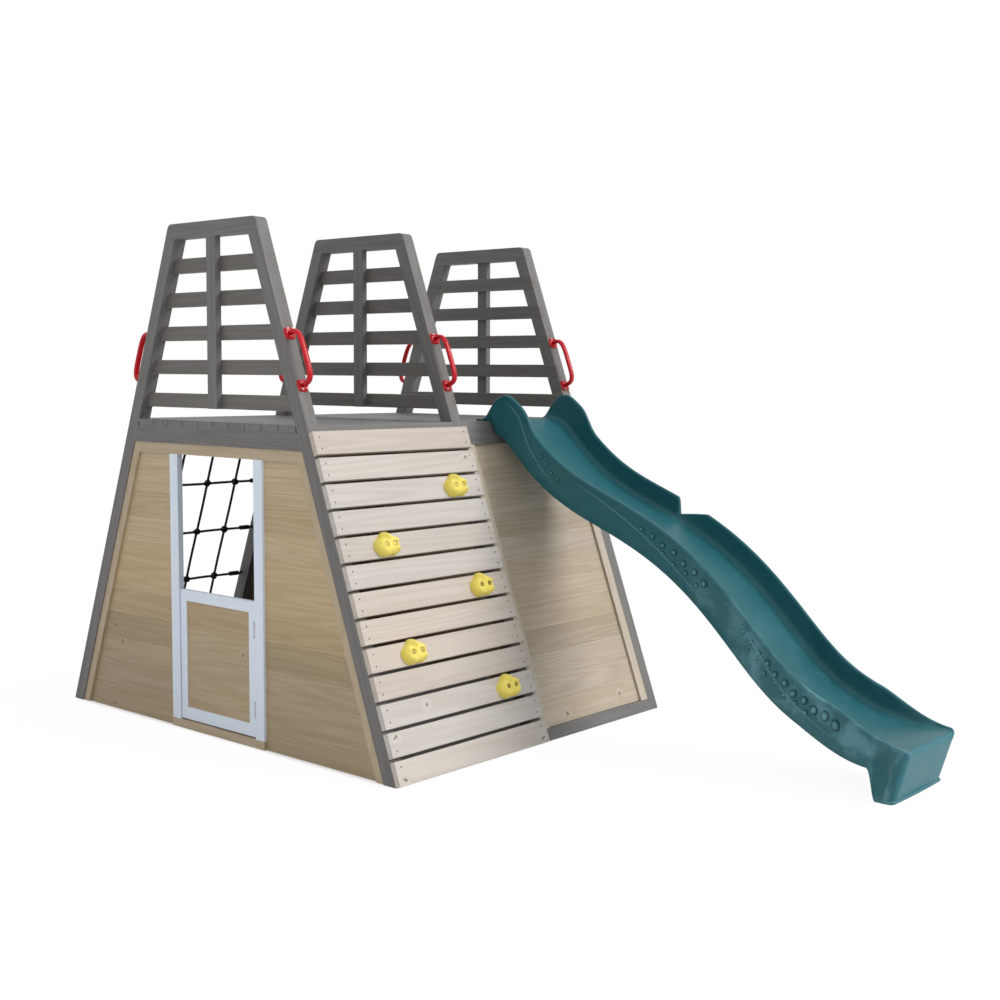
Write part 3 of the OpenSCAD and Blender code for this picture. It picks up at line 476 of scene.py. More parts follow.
# %% Natural wood for walls, strips, sill and door panel
NATURAL = (colour(202, 178, 141), colour(163, 132, 89))
FRONT = (colour(187, 172, 151), colour(152, 130, 98))
STRIP = (colour(190, 171, 142), colour(160, 136, 103))
PALE_STRIP = (colour(200, 188, 170), colour(170, 150, 122))
BOARD_HUES = ((1.03, 1.0, 0.93, 1.0), (0.97, 1.0, 1.05, 1.0))
GROUND_BEAM = 0.045
natural_look = {"rings": 90.0, "contrast": 0.65, "rough": 0.5, "edge": -0.14, "groove": 0.2}
wall_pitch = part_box("right_wall_boards")[1].z / 11
slope_foot = GROUND_BEAM / LEAN_COS
slope_pitch = (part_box("front_wall_boards")[1].z / LEAN_COS - slope_foot) / 12
front_start = float(FRONT_FOOT @ UP_FRONT) + slope_foot
back_start = float(BACK_FOOT @ UP_BACK) + slope_foot
panel_low, panel_high = (corner.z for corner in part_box("door_panel"))
panel_pitch = (panel_high - panel_low) / 4
upright_walls = ["left_wall_front_boards", "left_wall_back_boards", "right_wall_boards"]
level_strips = ["left_wall_top_trim", "left_wall_sill", "right_wall_trim"]

# each wall: name, shades, along, across, start and pitch of the rows, tone, painted shade towards the ground,
# pieces
walls = (
    ("wall", NATURAL, ALONG_Y, ALONG_Z, 0.0, wall_pitch, 0.12, 0.36, upright_walls),
    ("front_wall", FRONT, ALONG_X, UP_FRONT, front_start, slope_pitch, 0.12, 0.0, ["front_wall_boards"]),
    ("back_wall", FRONT, ALONG_X, UP_BACK, back_start, slope_pitch, 0.12, 0.0, ["back_wall_boards"]),
    ("door_panel", NATURAL, ALONG_Y, ALONG_Z, panel_low, panel_pitch, 0.09, 0.25, ["door_panel"]),
)
for name, shades, along, across, start, pitch, tone, painted_ground_shade, names in walls:
    board = wood("natural_" + name, shades, along, across, row=(start, pitch, pitch), knots=2.2, tone=tone,
                 painted_ground_shade=painted_ground_shade, hues=BOARD_HUES, **natural_look)
    dress(board, names)
strips = (
    ("front_strip", STRIP, UP_FRONT, ALONG_Y, ["left_wall_front_trim"]),
    ("back_strip", STRIP, UP_BACK, ALONG_Y, ["left_wall_back_trim"]),
    ("level_strip", STRIP, ALONG_Y, ALONG_Z, level_strips),
    ("pale_front_strip", PALE_STRIP, UP_FRONT, ALONG_X, ["front_wall_trim"]),
    ("pale_back_strip", PALE_STRIP, UP_BACK, ALONG_X, ["back_wall_trim"]),
)
for name, shades, along, across, names in strips:
    dress(wood("natural_" + name, shades, along, across, **natural_look), names)
print("pieces with a finish so far:", len(dressed))

# %% [markdown]
# ## Whitewashed climbing slats and white door
#
# The climbing slats are whitewashed: a thin white stain that leaves the grain as pale grey-brown streaks.
# The door frame and its posts are painted a cold white that hides nearly all of the grain, but still shows
# it as a slight relief.

# %% Pale and white wood
WHITEWASH = (colour(201, 193, 181), colour(170, 156, 136))
WASH_HUES = ((1.01, 0.945, 0.92, 1.0), (0.97, 0.985, 1.05, 1.0))
WHITE = (colour(229, 238, 247), colour(210, 219, 231))
CLIMB_GAP = 0.012
PLANK_THICK = 0.025
CLIMB_SLATS = 13
climb_pitch = ((DECK_TOP - PLANK_THICK) / LEAN_COS + CLIMB_GAP) / CLIMB_SLATS
climb_row = (float(FRONT_FOOT @ UP_FRONT), climb_pitch, climb_pitch - CLIMB_GAP)
slat_pale = wood("pale_climbing_slat", WHITEWASH, ALONG_X, UP_FRONT, row=climb_row, contrast=0.55,
                 knots=1.6, tone=0.05, rough=0.6, edge=0.10, hues=WASH_HUES)
white_look = {"rings": 50.0, "contrast": 0.3, "tone": 0.03, "rough": 0.42, "lift": 0.2}
white_upright = wood("white_upright", WHITE, ALONG_Z, ALONG_Y, **white_look)
white_level = wood("white_level", WHITE, ALONG_Y, ALONG_Z, **white_look)

dress(slat_pale, ["climbing_slats"])
dress(white_upright, ["hinge_door_post", "closing_door_post", "door_hinge_stile", "door_closing_stile"])
dress(white_level, ["door_top_rail", "door_bottom_rail"])
print("climbing slat pitch in metres:", round(climb_pitch, 5))

# %% [markdown]
# ## Metal, and moulded plastic
#
# Hinges and screws are zinc-plated steel: a bright metal whose crystals give a faint blotchy pattern. The
# bolts in the holds have the yellow kind of plating, and the ferrules on the net are black plastic. Moulded
# plastic has a very fine grain from its mould, and dull scuffs where it is handled.


# %% Metal and plastic finishes
def metal(name, pale, dark):
    """Zinc-plated steel: crystals as scattered cells, with light scratches."""
    finish = Finish(name)
    crystal = finish.cells(finish.place, 160.0)
    smear = finish.noise(40.0, 3.0)
    tinted = finish.mix(crystal * 0.7 + smear * 0.3, pale, dark)
    normal = finish.bump(smear, 0.1, 0.0004)
    return finish.shade(base_color=tinted, metallic=1.0, roughness=smear * 0.3 + 0.22, normal=normal)


def plastic(name, pale, dark, rough, grain):
    """Moulded plastic: slow changes of tone, fine mould grain, and scuffs that make it duller in places."""
    finish = Finish(name)
    slow = finish.noise(5.0, 3.0)
    fine = finish.noise(grain, 2.0)
    scuff = finish.noise(38.0, 5.0, 0.65).rise(0.52, 0.68)
    tinted = finish.mix(slow * 0.7 + fine * 0.2, pale, dark)
    normal = finish.bump(fine, 0.08, 0.0005)
    dull = scuff * 0.14 + (fine * 0.06 + rough)
    return finish.shade(base_color=tinted, roughness=dull, normal=normal, specular_ior_level=0.3)


zinc = metal("zinc_steel", colour(196, 198, 202), colour(150, 152, 156))
ferrule_black = plastic("black_plastic", colour(46, 46, 48), colour(26, 26, 28), 0.42, 600.0)
yellow_zinc = metal("yellow_zinc", colour(178, 160, 92), colour(142, 124, 64))
dress(zinc, ["hinge_post_leaves", "hinge_door_leaves", "hinge_pins", "handle_screws"])
dress(yellow_zinc, ["hold_bolts"])
dress(ferrule_black, ["net_ferrules"])
print("pieces with a finish so far:", len(dressed))

# %% [markdown]
# ## Making surfaces from arrays
#
# The new pieces are all surfaces over two parameters, worked out as whole numpy arrays. They could be built
# face by face, but a grid needs less: the first helper turns its points into quads. A surface that ends in a
# point has its last ring drawn together there, and a tube carries a ring along a path.


# %% Grids of points as surfaces
def grid_faces(rows, columns, wrap_rows=False):
    """Quads between neighbouring points of a grid. Each row closes on itself, and columns do if asked."""
    r, c = np.meshgrid(np.arange(rows if wrap_rows else rows - 1), np.arange(columns), indexing="ij")
    r_next = (r + 1) % rows
    c_next = (c + 1) % columns
    quads = [r * columns + c, r * columns + c_next, r_next * columns + c_next, r_next * columns + c]
    return np.stack(quads, -1).reshape(-1, 4)


def shell(rings, wrap_rows=False):
    """Rings of points, in an array of rows, columns and coordinates, as a list of points and their quads."""
    return rings.reshape(-1, 3), grid_faces(len(rings), rings.shape[1], wrap_rows)


def capped(rings, middle):
    """Rings of points as a closed surface: one more ring is drawn together at a point behind them."""
    return shell(np.concatenate([rings, np.broadcast_to(middle, rings[:1].shape)]))


def around(count):
    """Angles of a full turn in equal steps."""
    return 2 * np.pi * np.arange(count) / count


def tube(path, radius, sides=8, closed=False):
    """A round tube: rings of the given radius around a path, square to it, and its ends drawn to points."""
    way = np.roll(path, -1, 0) - np.roll(path, 1, 0) if closed else np.gradient(path, axis=0)
    way = way / np.linalg.norm(way, axis=1, keepdims=True)
    helper = np.where(np.abs(way[:, 1:2]) < 0.9, ALONG_Y, ALONG_X)
    side = np.cross(way, helper)
    side = side / np.linalg.norm(side, axis=1, keepdims=True)
    other = np.cross(way, side)
    angle = around(sides)[None, :, None]
    size = np.full(len(path), radius)
    if not closed:
        size[0] = size[-1] = 0.0
    ring = np.cos(angle) * side[:, None] + np.sin(angle) * other[:, None]
    return shell(path[:, None] + ring * size[:, None, None], closed)


print("quads between 3 rings of 8 points:", len(grid_faces(3, 8)))

# %% [markdown]
# When parts are joined, each is turned outwards by the sign of the volume it encloses, because a part on the
# other side of the object is a mirror image. The last helper makes the object, merges the points that
# coincide, which closes the poles, and lets it ride on a body.


# %% Joining parts and making an object
def outward(points, faces):
    """The faces, turned round where the volume they enclose, a sum over two triangles each, is below zero."""
    a, b, c, d = (points[faces[:, k]] - points.mean(0) for k in range(4))
    volume = (a * np.cross(b, c)).sum() + (a * np.cross(c, d)).sum()
    return faces if volume >= 0 else faces[:, ::-1]


def join(parts):
    """Puts several sets of points and faces into one, each with its faces outwards."""
    offsets = np.cumsum([0] + [len(points) for points, _ in parts[:-1]])
    points = np.concatenate([points for points, _ in parts])
    faces = np.concatenate([outward(*part) + offset for part, offset in zip(parts, offsets)])
    return points, faces


def piece(name, points, faces, material, slot, stands_for=(), crease=40.0, highlight_and_shade=None):
    """An object from points and quads, smooth up to an angle, that rides on the frame. The slot is not used.
    """
    mesh = bpy.data.meshes.new(name)
    mesh.from_pydata(points.tolist(), [], faces.tolist())
    if highlight_and_shade is not None:
        layer = mesh.attributes.new("highlight_and_shade", "FLOAT", "POINT")
        layer.data.foreach_set("value", highlight_and_shade.astype(np.float32))
    closed = bmesh.new()
    closed.from_mesh(mesh)
    bmesh.ops.remove_doubles(closed, verts=closed.verts, dist=1e-6)
    closed.to_mesh(mesh)
    closed.free()
    mesh.polygons.foreach_set("use_smooth", np.ones(len(mesh.polygons), dtype=bool))
    mesh.set_sharp_from_angle(angle=math.radians(crease))
    mesh.materials.append(material)
    mesh.update()
    obj = placed(name, mesh)
    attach(obj, "frame")
    if stands_for:
        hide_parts(*stands_for)
        dressed.update(stands_for)
    print(name, "points", len(mesh.vertices), "faces", len(mesh.polygons))


print("mesh helpers ready")

# %% [markdown]
# ## Nails in the climbing slats
#
# Each slat is nailed to both legs with two nails at either end. Their heads are low domes, a few millimetres
# across, that show as small dark dots. A dome is a surface of revolution: rings that shrink towards a point.


# %% Nail heads
def domes(centres, out, across, radius, height, rings=4, sides=12):
    """Low domes: rings at shares of the radius, raised by the root of one minus the share squared."""
    up = np.cross(out, across)
    share = np.sin(np.linspace(0.0, 1.0, rings) * np.pi / 2)
    rise = np.sqrt(np.clip(1 - share ** 2, 0, 1)) * height
    angle = around(sides)[:, None]
    flat = np.cos(angle) * across + np.sin(angle) * up
    top = share[:, None, None] * radius * flat + rise[:, None, None] * out
    behind = -0.5 * height * out
    shape = np.concatenate([top, top[-1:] + behind])
    return join([capped(shape + centre, centre + behind) for centre in centres])


SLAT_FACE = 0.022
nail_up = (np.arange(CLIMB_SLATS)[:, None] * climb_pitch + climb_row[2] * np.array([0.25, 0.75])).ravel()
nail_places = on_slope(-1, np.array([[-BAY], [0.0]]), SLAT_FACE, nail_up).reshape(-1, 3)
nail_steel = metal("nail_steel", colour(120, 118, 116), colour(84, 82, 80))
nails = domes(nail_places, OUT_FRONT, ALONG_X, radius=0.0034, height=0.0012)
piece("slat_nails", *nails, nail_steel, "steel")

# %% [markdown]
# ## Rope net
#
# The net is black rope of three strands laid together. A strand's middle runs in a helix round the rope's
# own line, so the three touch along their whole length and leave the slanting grooves that make a rope look
# like one. Where two ropes cross, they are tied: a closed curve that winds round a ring twice while it turns
# three times about it makes a lump of crossing turns.

# %% Twisted ropes and knots
ROPE_HELIX = 0.0028
ROPE_STRAND = 0.0031
ROPE_LAY = 0.040
ROPE_SLACK = 0.0015
NET_LOW, NET_HIGH = 0.031, 1.124
NET_LEFT, NET_RIGHT = -0.702, -0.011
net_x = -0.173 - (BAY - 0.050 - 0.148 - 0.087) / 3 * np.arange(4)
net_z = 0.910 - 0.215 * np.arange(4)


def on_net(x, z):
    """A point of the net's plane, which lies 15 mm inside the outer faces of the back legs."""
    return np.array([x, MIDDLE_Y + HALF_BASE - LEAN * z - 0.015 / LEAN_COS, z])


def rope(start, end, slack):
    """Three strands of a rope: helices of one lay length round a line that sways a little by slack."""
    length = np.linalg.norm(end - start)
    t = np.linspace(0, 1, int(length / 0.0034))
    sway = slack * np.sin(t * np.pi) ** 0.5 * np.sin(t * 5 * np.pi)
    line = start + t[:, None] * (end - start) + sway[:, None] * OUT_BACK
    first = np.cross((end - start) / length, OUT_BACK)
    phase = (2 * np.pi * (t[:, None] * length / ROPE_LAY + np.arange(3) / 3))[..., None]
    strands = line[:, None] + ROPE_HELIX * (np.cos(phase) * first + np.sin(phase) * OUT_BACK)
    return join([tube(strands[:, k], ROPE_STRAND, 6) for k in range(3)])


def knot(middle, turn):
    """A tied crossing: a closed curve twice round a ring and three times about it, flattened on the net."""
    t = np.linspace(0, 2 * np.pi, 72, endpoint=False)[:, None]
    spread = 0.0074 + 0.0034 * np.cos(3 * t)
    flat = spread * (np.cos(2 * t + turn) * ALONG_X + np.sin(2 * t + turn) * UP_BACK)
    return tube(middle + flat + 0.0052 * np.sin(3 * t) * OUT_BACK, 0.0062, 8, True)


net_parts = [rope(on_net(x, NET_LOW), on_net(x, NET_HIGH), ROPE_SLACK) for x in net_x]
net_parts += [rope(on_net(NET_LEFT, z), on_net(NET_RIGHT, z), -ROPE_SLACK) for z in net_z]
for i, x in enumerate(net_x):
    for k, z in enumerate(net_z):
        net_parts.append(knot(on_net(x, z), 0.9 * i + 1.7 * k))

rope_finish = Finish("black_rope")
rope_fibre = rope_finish.noise(900.0, 3.0, 0.7)
rope_dust = rope_finish.noise(14.0, 2.0)
rope_tint = rope_finish.mix(rope_fibre * 0.6 + rope_dust * 0.4, colour(16, 16, 17), colour(50, 49, 48))
rope_finish.shade(base_color=rope_tint, roughness=rope_fibre * 0.2 + 0.66,
                  normal=rope_finish.bump(rope_fibre, 0.5, 0.0008))
piece("net_of_rope", *join(net_parts), rope_finish.material, "black_rope", ["rope_net"])

# %% [markdown]
# ## Climbing holds
#
# The holds are cast resin lumps with two bolts in holes. A lump is a height over a rounded outline: flat in
# the middle, falling off steeply near its edge, with round knobs there for the fingers. The two holes are cut
# by pulling the height down to the bolts inside a small circle.

# %% Resin holds
HOLD_RINGS, HOLD_SIDES = 64, 132
HOLD_HALF_WIDTH, HOLD_HALF_HEIGHT = 0.0535, 0.0435
HOLD_THICK, HOLD_TOP = 0.0335, 0.0458
BOLT_OFFSET, HOLE_RADIUS, HOLE_EDGE, HOLE_FLOOR = 0.020, 0.0077, 0.0026, 0.0245
# each knob: its angle, its share of the way to the edge, its height and its size
KNOBS = ((1.75, 0.72, 0.0115, 0.0075), (0.40, 0.80, 0.0110, 0.0070), (2.70, 0.80, 0.0050, 0.0080),
         (5.60, 0.78, 0.0120, 0.0080), (4.00, 0.80, 0.0050, 0.0090))


def hold_surface(x, up):
    """A lump on a polar grid: a flat height falling off at the edge, bell-shaped knobs, two sunk holes."""
    share = np.linspace(0.0, 1.0, HOLD_RINGS)[:, None] ** 0.85
    angle = around(HOLD_SIDES)[None, :]
    lobes = 1 + 0.08 * np.cos(3 * angle - 1.5 * np.pi) + 0.05 * np.cos(5 * angle - 8.6)
    radius = lobes / np.sqrt((np.cos(angle) / HOLD_HALF_WIDTH) ** 2 + (np.sin(angle) / HOLD_HALF_HEIGHT) ** 2)
    a = share * radius * np.cos(angle)
    b = share * radius * np.sin(angle)
    fall_off = (1 - share ** 4.6) ** 0.58
    height = HOLD_THICK * fall_off
    for knob_angle, knob_share, knob_height, knob_size in KNOBS:
        knob_a = knob_share * 0.0520 * math.cos(knob_angle)
        knob_b = knob_share * 0.0430 * math.sin(knob_angle)
        away = (a - knob_a) ** 2 + (b - knob_b) ** 2
        height = height + knob_height * np.exp(-away / (2 * knob_size ** 2)) * fall_off
    for bolt in (-BOLT_OFFSET, BOLT_OFFSET):
        away = np.sqrt((a - bolt) ** 2 + b ** 2)
        sunk = ease(1 - (away - HOLE_RADIUS) / HOLE_EDGE)
        height = height + (np.minimum(height, HOLE_FLOOR) - height) * sunk
    top = on_slope(-1, x + a, SLAT_FACE + np.clip(height, 0.0, HOLD_TOP), up + b)
    return capped(top, on_slope(-1, x, SLAT_FACE, up))


def ease(t):
    """A smooth step from 0 to 1."""
    t = np.clip(t, 0, 1)
    return t * t * (3 - 2 * t)


hold_parts = []
for k in range(5):
    hold_x = -BAY / 2 + (0.230 if k % 2 == 0 else -0.182)
    hold_up = (12 - 2 * (k + 1)) * climb_pitch + climb_row[2] / 2
    hold_parts.append(hold_surface(hold_x, hold_up))
resin = plastic("yellow_resin", colour(240, 224, 112), colour(228, 202, 82), 0.46, 420.0)
piece("resin_holds", *join(hold_parts), resin, "yellow_plastic", ["climbing_holds"], crease=70.0)

# %% [markdown]
# ## Handles
#
# A handle is a flat oval bar that stands off the leg on two rounded feet and runs along it. The bar's line is
# half of a rounded rectangle, which cosine and sine draw when both are raised to a power below one. A foot is
# a low pillow: its height falls off only near its outline. Small domed caps cover the screws.

# %% Red handles
HANDLE_SPAN = 0.196
HANDLE_REACH = 0.057
BAR_WIDTH = 0.0225
BAR_THICK = 0.0165
BAR_ROUND = 0.52
PAD_THICK = 0.009
PAD_WIDTH = 0.046
PAD_ROUND = 3.4
HANDLE_UP = (DECK_TOP + 0.232) / LEAN_COS


def handle_bar(side, x):
    """An oval carried along half of a rounded rectangle, reaching out a little more at its lower end."""
    turn_angle = np.linspace(0, np.pi, 65)[:, None]
    c = np.cos(turn_angle)
    s = np.clip(np.sin(turn_angle), 0, 1)
    up = HANDLE_SPAN / 2 * np.sign(c) * np.abs(c) ** BAR_ROUND
    out = PAD_THICK / 2 + (HANDLE_REACH - PAD_THICK / 2) * s ** BAR_ROUND * (1 - 0.07 * c)
    way = np.gradient(np.concatenate([up, out], 1), axis=0)
    way = way / np.linalg.norm(way, axis=1, keepdims=True)
    angle = around(24)
    size = np.ones((65, 1))
    size[[0, -1]] = 0.0
    wide = np.cos(angle) * BAR_WIDTH / 2 * size
    thick = np.sign(np.sin(angle)) * np.abs(np.sin(angle)) ** 0.85 * BAR_THICK / 2 * size
    out = np.maximum(out + way[:, 0:1] * thick, 0.0002)
    return shell(on_slope(side, x + wide, out, HANDLE_UP + up - way[:, 1:2] * thick))


def handle_pad(side, x, end):
    """A pillow on a square outline with wide rounded corners."""
    share = np.linspace(0.0, 1.0, 14)[:, None]
    angle = around(48)[None, :]
    outline = (np.abs(np.cos(angle)) ** PAD_ROUND + np.abs(np.sin(angle)) ** PAD_ROUND) ** (-1 / PAD_ROUND)
    a = share * outline * np.cos(angle) * PAD_WIDTH / 2
    b = share * outline * np.sin(angle) * PAD_WIDTH / 2
    height = PAD_THICK * (1 - share ** 6) ** 0.5 * (0.92 + 0.08 * (1 - share ** 2))
    middle = HANDLE_UP + end * HANDLE_SPAN / 2
    return capped(on_slope(side, x + a, height, middle + end * b), on_slope(side, x, 0.0, middle))


cap_x = np.array([-0.011, 0.011, -0.011, 0.011])
cap_up = HANDLE_UP + (HANDLE_SPAN / 2 + 0.0155) * np.array([1, 1, -1, -1])
red = plastic("red_plastic", colour(206, 16, 30), colour(170, 6, 18), 0.22, 500.0)
for name, x in zip(SIDES, (-BAY, 0.0, BAY)):
    for place, side in (("front", -1), ("back", 1)):
        cap_places = on_slope(side, x + cap_x, PAD_THICK, cap_up)
        caps = domes(cap_places, SLOPES[side][1], ALONG_X, radius=0.0060, height=0.0040)
        parts = [handle_bar(side, x), handle_pad(side, x, 1), handle_pad(side, x, -1), caps]
        node = name + "_" + place + "_handle"
        piece(node + "_moulded", *join(parts), red, "red_plastic", [node], crease=55.0)

# %% [markdown]
# ## Slide
#
# The slide is one blow-moulded shell. Its bed starts flat on the deck and dips in two waves to a closed foot,
# and its walls have a rolled rim, a crease low down, and a raised peak where a child sits down. The skin here
# follows the curves of the CAD model on a much finer grid, so that its highlights run smoothly. A curve is a
# list of places and values with a smooth step between neighbours.

# %% Curves of the slide
S = SimpleNamespace(
    width=0.380, rim_width=0.016, rim_height=0.014, wall=0.082, peak=0.115, skirt=0.055, thick=0.006,
    overlap=0.052, step=0.112, tilt=17.0, back_tilt=4.0, edge=0.002, foot_height=0.185, foot_length=0.150,
    foot_back=0.044, hollow=0.015, front_round=0.030, step_run=0.029, bend=0.028, bend_height=0.020,
)
# shares of the run, and the slope of the bed there in degrees
WAVE = np.array([[0, 0], [0.003, 0], [0.0716, 44.5], [0.31, 21], [0.669, 45], [1, 0]])


def curve(pairs, t):
    """Value at t of a list of places and values, with a smooth step from each pair to the next."""
    places, values = np.asarray(pairs, dtype=float).T
    k = np.clip(np.searchsorted(places, t, "right") - 1, 0, len(places) - 2)
    return values[k] + (values[k + 1] - values[k]) * ease((t - places[k]) / (places[k + 1] - places[k]))


fall = np.sin(np.radians(curve(WAVE, (np.arange(200) + 0.5) / 200))).mean()
RUN = (DECK_TOP + S.thick - S.foot_height) / fall
LENGTH = S.overlap + RUN
STEP_AT = S.overlap + 0.3535 * RUN
STRAIGHT = LENGTH - S.front_round
FOOT_START = LENGTH - S.foot_length
SLIDE_X = BAY / 2


def slope(s):
    """Slope of the bed in degrees at distances s along it: level on the deck, then as the wave says."""
    return curve(WAVE, np.maximum(0, s - S.overlap) / RUN)


fine_s = np.linspace(0, LENGTH, 4001)
fine_slope = np.radians(slope((fine_s[1:] + fine_s[:-1]) / 2))
step_length = fine_s[1] - fine_s[0]
start_y = MIDDLE_Y - (HALF_BASE - LEAN * DECK_TOP) + S.overlap
fine_y = start_y - np.concatenate([[0], np.cumsum(np.cos(fine_slope))]) * step_length
fine_z = DECK_TOP + S.thick - np.concatenate([[0], np.cumsum(np.sin(fine_slope))]) * step_length
end_y, end_z = float(fine_y[-1]), float(fine_z[-1])

RIM = [[0, S.edge], [S.overlap - 0.026, S.edge], [S.overlap + 0.082, S.peak],
       [S.overlap + 0.116, S.peak - 0.004], [S.overlap + 0.262, S.wall], [LENGTH - 0.330, S.wall],
       [LENGTH, S.edge * 3]]
SKIRT = [[0, S.thick], [S.overlap + 0.008, S.thick], [S.overlap + 0.052, S.skirt],
         [LENGTH - 0.420, S.skirt], [FOOT_START, S.skirt + 0.030]]
print("slide length", round(LENGTH, 4), "end of the bed", round(end_y, 4), round(end_z, 4))

# %% [markdown]
# A section of the slide is drawn square to the bed, and its measures change along the slide. At the foot the
# sections tip to the front's own tilt, the skirts reach the ground, and the last ones shrink to round the
# front edge. The measures have functions of their own, because the relief on the walls needs them too.


# %% Measures of a section
def section_facts(s):
    """The measures of a section at distances s along the bed, shared by the skin and its relief."""
    foot = ease((s - FOOT_START) / S.foot_back)
    past = np.maximum(0, s - STRAIGHT)
    sunk = S.front_round - np.sqrt(np.clip(S.front_round ** 2 - past ** 2, 0, None))
    front = np.clip((s - FOOT_START - S.foot_back) / (STRAIGHT - FOOT_START - S.foot_back), 0, 1)
    foot_tilt = S.back_tilt + (S.tilt - S.back_tilt) * front
    tilt = np.radians(slope(s) * (1 - foot) + foot_tilt * foot)
    bed_y = np.interp(s, fine_s, fine_y)
    bed_z = np.interp(s, fine_s, fine_z)
    skirt = curve(SKIRT, s) * (1 - foot) + bed_z / np.cos(tilt) * foot
    hollow = S.hollow * foot * (1 - ease(1 - (STRAIGHT - s) / S.foot_back))
    return SimpleNamespace(foot=foot, sunk=sunk, tilt=tilt, skirt=skirt, hollow=hollow,
                           edge=S.width / 2 - sunk, bed_y=bed_y, bed_z=bed_z)


def rim_height(s, f, side):
    """Height of the rim over the bed: the far wall drops in a step and climbs back."""
    rim = curve(RIM, s)
    if side > 0:
        into = (s - STEP_AT) / S.step_run
        share = np.clip(np.minimum(into, 1 - (s - STEP_AT - S.step_run) / S.step), 0, 1)
        corner = np.clip(1 - np.abs(s - STEP_AT) / 0.008, 0, 1)
        round_off = 0.006 * (1 - np.sqrt(np.clip(1 - corner ** 2, 0, 1)))
        rim = rim - (0.72 * S.wall * share + round_off)
    return rim - f.sunk


def slide_place(f, x, height, side):
    """Points in the model from an offset across the bed and a height square to it."""
    tilt, bed_y, bed_z = (column[:, None] for column in (f.tilt, f.bed_y, f.bed_z))
    return np.stack([SLIDE_X + side * x, bed_y - np.sin(tilt) * height, bed_z + np.cos(tilt) * height], -1)


def outer_wall(s, f, side):
    """The rim, and the upper and lower ends of the outer wall: under the rim's lip, and at the crease."""
    rim = rim_height(s, f, side)
    lip = np.maximum(rim - S.rim_height, -f.sunk - S.thick)
    crease_x = f.edge - 0.005 - f.hollow
    crease = np.minimum(lip, 0.030 - f.skirt) * (1 - f.foot) + (lip - f.skirt) / 2 * f.foot
    return rim, lip, f.edge - 0.003, crease_x, crease


step_ends = np.array([STEP_AT - 0.010, STEP_AT + S.step_run])
print("far rim before and after its step:", rim_height(step_ends, section_facts(step_ends), 1).round(3))

# %% [markdown]
# One half of a section goes from the middle of the bed up the wall, over the rolled rim, down the outside to
# the crease, in under the skirt and back below the bed. A sheet with an even thickness would have no rolled
# rim, so the whole outline is drawn, in stretches that have points at chosen shares of the way.


# %% One half of a section
def half_section(s, side):
    """One half of the sections at s: stretches between two ends, with points at shares of the way."""
    f = section_facts(s)
    rim, lip, lip_x, crease_x, crease = outer_wall(s, f, side)
    bed = -f.sunk
    under = np.where(s > STRAIGHT - 0.001, f.skirt, S.thick)
    wall = f.edge - S.rim_width
    foot_x = wall - 0.006
    skirt_x = f.edge - 0.015 * (1 - f.foot) - 0.008 * f.foot
    inner_x = skirt_x - S.thick
    under_x = np.minimum(foot_x, inner_x) - 0.0025
    bend_x = foot_x - S.bend
    wall_x = foot_x + 0.0012
    low = bed + np.minimum(S.bend_height, np.clip(rim - bed, 0, None) * 0.5)
    top = np.maximum(rim - 0.007, low)
    xs, hs = [], []

    def add(x, h):
        xs.append(x + 0 * s)
        hs.append(h + 0 * s)

    def stretch(shares, x_from, x_to, h_from, h_to, bow=0.0):
        for t in shares:
            add(x_from + (x_to - x_from) * t - bow * math.sin(math.pi * t), h_from + (h_to - h_from) * t)

    stretch((0.0, 0.4, 0.75, 0.94), 0.0, bend_x, bed, bed)
    for t in np.linspace(0, 1, 6):
        x = bend_x * (1 - t) ** 2 + 2 * t * (1 - t) * (foot_x - 0.003) + t * t * wall_x
        add(x, bed + t * t * (low - bed))
    stretch((0.35, 0.7), wall_x, wall, low, top)
    for a in np.linspace(0, np.pi, 11):
        add(wall + S.rim_width * (1 - np.cos(a)) / 2, np.maximum(top + (rim - top) * np.sin(a), lip))
    add(f.edge, np.minimum(lip + 0.002, top))
    add(f.edge - 0.001, lip)
    stretch((0.0, 0.12, 0.25, 0.4, 0.7, 0.92), lip_x, crease_x, lip, crease, f.hollow * 0.35)
    stretch((0.0, 0.08, 0.4, 0.8, 1.0), crease_x, skirt_x, crease, -f.skirt, f.hollow * 0.35)
    stretch((0.35, 1.0), skirt_x, inner_x, -f.skirt, -f.skirt)
    stretch((0.5, 1.0), inner_x, under_x, -f.skirt, -under)
    stretch((0.5, 1.0), under_x, 0.0, -under, -under)
    return slide_place(f, np.stack(xs, 1), np.stack(hs, 1), side)


print("points in one half:", half_section(step_ends, 1).shape[1])

# %% [markdown]
# The skin is a loft: both halves of the sections make rings, and quads join each ring with the next. The
# stations lie close together where the form turns quickly: at the peak, at the step and round the front. Both
# ends are closed with quads from one side of the outline to the other.

# %% Loft through the sections
stations = np.concatenate([
    np.linspace(0, 0.36, 72, endpoint=False), np.linspace(0.36, STEP_AT - 0.010, 42, endpoint=False),
    np.linspace(STEP_AT - 0.010, STEP_AT + 0.010, 15), np.linspace(STEP_AT + 0.015, STEP_AT + S.step_run, 4),
    np.linspace(STEP_AT + 0.04, FOOT_START, 108, endpoint=False), np.linspace(FOOT_START, STRAIGHT, 30),
    STRAIGHT + S.front_round * np.sin(np.linspace(0, np.pi / 2, 11)[1:]),
])
near_half = half_section(stations, -1)
far_half = half_section(stations, 1)
rings = np.concatenate([near_half, far_half[:, -2:0:-1]], 1)
half_count = near_half.shape[1]
ring_count = rings.shape[1]
skin_points, sides_faces = shell(rings)
k = np.arange(half_count // 2 - 1)
near_cap = [k, k + 1, half_count - 2 - k, half_count - 1 - k]
far_cap = [half_count - 1 + k, half_count + k, ring_count - 1 - k, (ring_count - k) % ring_count]
cap = np.concatenate([near_cap, far_cap], 1).T
last_ring = (len(stations) - 1) * ring_count
skin_faces = np.concatenate([sides_faces, cap[:, ::-1], cap + last_ring])
print("sections", len(stations), "points in each", ring_count)
